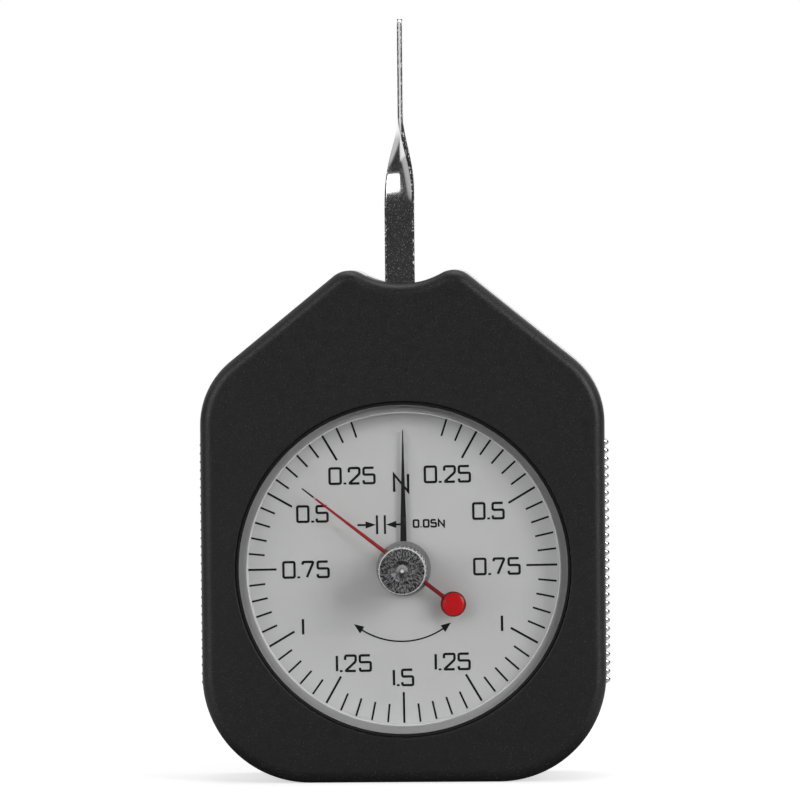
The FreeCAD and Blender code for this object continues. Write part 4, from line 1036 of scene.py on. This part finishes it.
def arm_strip(finish, painted_edge_reflection):
    """Chromed strip: an eye on the hub, a flat run, a quarter twist and an edge-on end with round corners."""
    wide = ARM_WIDTH / 2
    deep = ARM_THICKNESS / 2
    middle = ARM_DEPTH + deep
    shares = [0.02 + 0.12 * i for i in range(9)]

    def section(half_wide, reach):
        """The strip's four round corners in turn, with points across each broad face between them."""
        corners = []
        for sign_x, sign_y, start in ((1, -1, -90), (1, 1, 0), (-1, 1, 90), (-1, -1, 180)):
            flat = sign_x * (half_wide - ARM_EDGE)
            edge = sign_y * (deep - ARM_EDGE)
            for step in range(5):
                angle = math.radians(start + 22.5 * step)
                corners.append((flat + ARM_EDGE * math.cos(angle), edge + ARM_EDGE * math.sin(angle)))
            if sign_x == sign_y:
                corners += [(flat * (1 - 2 * share), sign_y * deep) for share in shares]
        c, s = math.cos(arm_twist(reach)), math.sin(arm_twist(reach))
        lean = arm_lean(reach)
        return [spot(lean + x * c - y * s, middle + x * s + y * c, PIVOT_Z + reach) for x, y in corners]

    stops = [0.0, 3.0, 8.0, 12.0, TWIST_START - 1.0]
    stops += [TWIST_START + TWIST_LENGTH * i / 40 for i in range(41)]
    stops.append(TWIST_START + TWIST_LENGTH + 1.0)
    loops = [section(wide, reach) for reach in stops]
    for step in range(9):
        angle = math.pi / 2 * step / 8
        reach = ARM_LENGTH - TIP_RADIUS * (1 - math.sin(angle))
        loops.append(section(wide - TIP_RADIUS * (1 - math.cos(angle)), reach))
    strip = new_mesh("arm_strip", skin(loops, capped=True), 40)
    bevel, back = 0.15, ARM_DEPTH + ARM_THICKNESS
    eye = [(0, ARM_DEPTH), (EYE_RADIUS - bevel, ARM_DEPTH), (EYE_RADIUS, ARM_DEPTH + bevel)]
    eye += [(EYE_RADIUS, back - bevel), (EYE_RADIUS - bevel, back), (0, back)]
    disc = new_mesh("arm_eye", turned(eye, 64, (0, PIVOT_Z), closed=False))
    half = HUB_SEAT_HALF
    for thing in (strip, disc):
        low = (-half, ARM_DEPTH - OVERCUT, PIVOT_Z - half)
        cut(thing, [block("seat", low, (half, back + OVERCUT, PIVOT_Z + half))], 40)
    dress(strip, "arm", "polished_arm", finish, "measuring_arm")
    dress(disc, "arm", "polished_arm", finish)
    # The strip's edge faces take a finish painted near white as a painted reflection.
    strip.data.materials.append(painted_edge_reflection)
    for face in strip.data.polygons:
        place = face.center / MM
        reach = place.z - PIVOT_Z
        c, s = math.cos(arm_twist(reach)), math.sin(arm_twist(reach))
        across = (place.x - arm_lean(reach)) * c + (place.y - FRONT - middle) * s
        face.material_index = int(abs(across) > wide - ARM_EDGE or reach > ARM_LENGTH - ARM_EDGE)


# Make everything

black = black_paint()
bright = chrome("bright_chrome", (0.80, 0.80, 0.81), 0.07, 0.16, (1, 1, 1))
strip_chrome = chrome("strip_chrome", (0.82, 0.82, 0.83), 0.12, 0.18, (1, 1, 2))
steel = machined("turned_steel", (0.58, 0.58, 0.59))
satin = machined("satin_disc", (0.30, 0.30, 0.30), 0.4, 0.55)

front_shell(black)
grip_shell(bright)
back_plate(black)
back_screws(steel)
window_pieces(clear_window(), rubber(), grey_satin(), silver_dial())
dial_print(ink())
black_hand(satin, black_enamel())
red_hand(red_blade(), red_enamel())
knob(spun_metal())
arm_strip(strip_chrome, sheared_edge_painted_reflection())

INSIDE = {
    "brass": machined("stamped_brass", (0.72, 0.55, 0.27)),
    "bronze": machined("turned_bronze", (0.58, 0.40, 0.22)),
    "spring_bronze": machined("rolled_bronze", (0.62, 0.44, 0.24)),
    "steel": steel,
    "spring_steel": machined("tempered_steel", (0.36, 0.37, 0.40)),
}
for part in frame["record"]["subparts"]:
    node = frame["nodes"][part["node"]]
    if part["material_slot"] in INSIDE:
        for holder in node.material_slots:
            holder.link = "OBJECT"
            holder.material = INSIDE[part["material_slot"]]


# Studio


def white_floor():
    """Pale floor that keeps the object's shadow and runs out into white at a distance.

    Mirrored in metal and glass it is bright behind the object. In front lies a grey table, dark down its
    middle, and the floor past it is dark. Each change of tone runs between two distances.
    """
    finish = Finish("pale_floor", (0.78, 0.78, 0.78), 0.9)
    eye, mirror, through = finish.rays()
    fill = finish.math("MULTIPLY", eye, FLOOR_FILL)
    finish.set(Specular_IOR_Level=0.0, Emission_Color=(1, 1, 1), Emission_Strength=fill)
    across, back, _ = finish.away()
    far = finish.spread(finish.length(across, back), *FLOOR_WHITENS)
    aside = finish.math("ABSOLUTE", across)
    edge = finish.math("SUBTRACT", back, finish.math("MULTIPLY", aside, TABLE_SLOPE))
    table = finish.math("MULTIPLY", finish.spread(edge, *TABLE_FRONT), finish.spread(aside, *TABLE_SIDE))
    before = finish.spread(table, 0, 1, 0.03, 0.5)
    mirrored = finish.math("MAXIMUM", before, finish.spread(back, *FLOOR_BEHIND))

    def glow(strength):
        node = finish.nodes.new("ShaderNodeEmission")
        finish.links.new(strength, node.inputs["Strength"])
        return node.outputs[0]

    seen = finish.either(far, finish.shader.outputs[0], glow(eye))
    finish.show(finish.either(mirror, seen, glow(finish.math("MAXIMUM", mirrored, through))))
    half = 1500
    corners = [(-half, -half), (half, -half), (half, half), (-half, half)]
    mesh = bpy.data.meshes.new("floor")
    mesh.from_pydata([Vector((x, y, 0)) * MM for x, y in corners], [], [(0, 1, 2, 3)])
    mesh.materials.append(finish.material)
    floor = bpy.data.objects.new("floor", mesh)
    bpy.context.scene.collection.objects.link(floor)


def studio_world():
    """White to the eye, dimmer as a light, and for metal and glass a room, dark on the camera's side."""
    world = bpy.data.worlds.new("studio")
    bpy.context.scene.world = world
    world.use_nodes = True
    steps = Steps(world.node_tree)
    steps.nodes.clear()

    def background(strength):
        node = steps.nodes.new("ShaderNodeBackground")
        steps.feed(node.inputs["Color"], (1, 1, 1))
        steps.feed(node.inputs["Strength"], strength)
        return node.outputs[0]

    _, back, up = steps.axes(steps.nodes.new("ShaderNodeTexCoord").outputs["Generated"])
    rise = steps.math("MINIMUM", steps.math("MULTIPLY", up, 2.0), 1.0)
    wall = steps.spread(steps.math("ADD", back, rise), 0.66, 0.80, 0.03, 0.6)
    room = steps.math("ADD", wall, steps.spread(back, 0.85, 0.96, 0.0, 0.4))
    eye, mirror, through = steps.rays()
    around = background(steps.math("MAXIMUM", room, through))
    seen = steps.either(eye, steps.either(mirror, background(SKY), around), background(1.0))
    output = steps.nodes.new("ShaderNodeOutputWorld")
    steps.links.new(seen, output.inputs["Surface"])


def softbox(name, place, target, size, power):
    """A rectangular soft light. Places are in metres."""
    lamp = bpy.data.lights.new(name, "AREA")
    lamp.shape = "RECTANGLE"
    lamp.size, lamp.size_y = size
    lamp.energy = power
    thing = bpy.data.objects.new(name, lamp)
    bpy.context.scene.collection.objects.link(thing)
    thing.location = place
    thing.rotation_euler = (Vector(target) - Vector(place)).to_track_quat("-Z", "Y").to_euler()


def camera():
    """The photograph's view: far off, a little above the dial and to its right, and slightly rolled."""
    lens = bpy.data.cameras.new("camera")
    lens.sensor_width = SENSOR_WIDTH
    lens.lens = SENSOR_WIDTH * FOCAL_PIXELS / PICTURE_PIXELS
    lens.clip_start = 50 * MM
    thing = bpy.data.objects.new("camera", lens)
    bpy.context.scene.collection.objects.link(thing)
    thing.location = Vector(CAMERA_PLACE) * MM
    look = Euler((CAMERA_TILT, 0, CAMERA_TURN), "XYZ").to_matrix()
    thing.rotation_euler = (look @ Matrix.Rotation(CAMERA_ROLL, 3, "Z")).to_euler()
    bpy.context.scene.camera = thing


white_floor()
studio_world()
softbox("soft_left", (-0.78, -0.88, 0.42), (0, 0, 0.09), (0.88, 0.72), 4.2)
softbox("soft_right", (0.80, -0.76, 0.46), (0, 0, 0.06), (0.5, 0.7), 5.2)
softbox("soft_top", (0.1, 0.15, 1.1), (0, 0, 0.06), (0.8, 0.6), 2.4)
camera()

scene = bpy.context.scene
scene.view_settings.view_transform = "Standard"
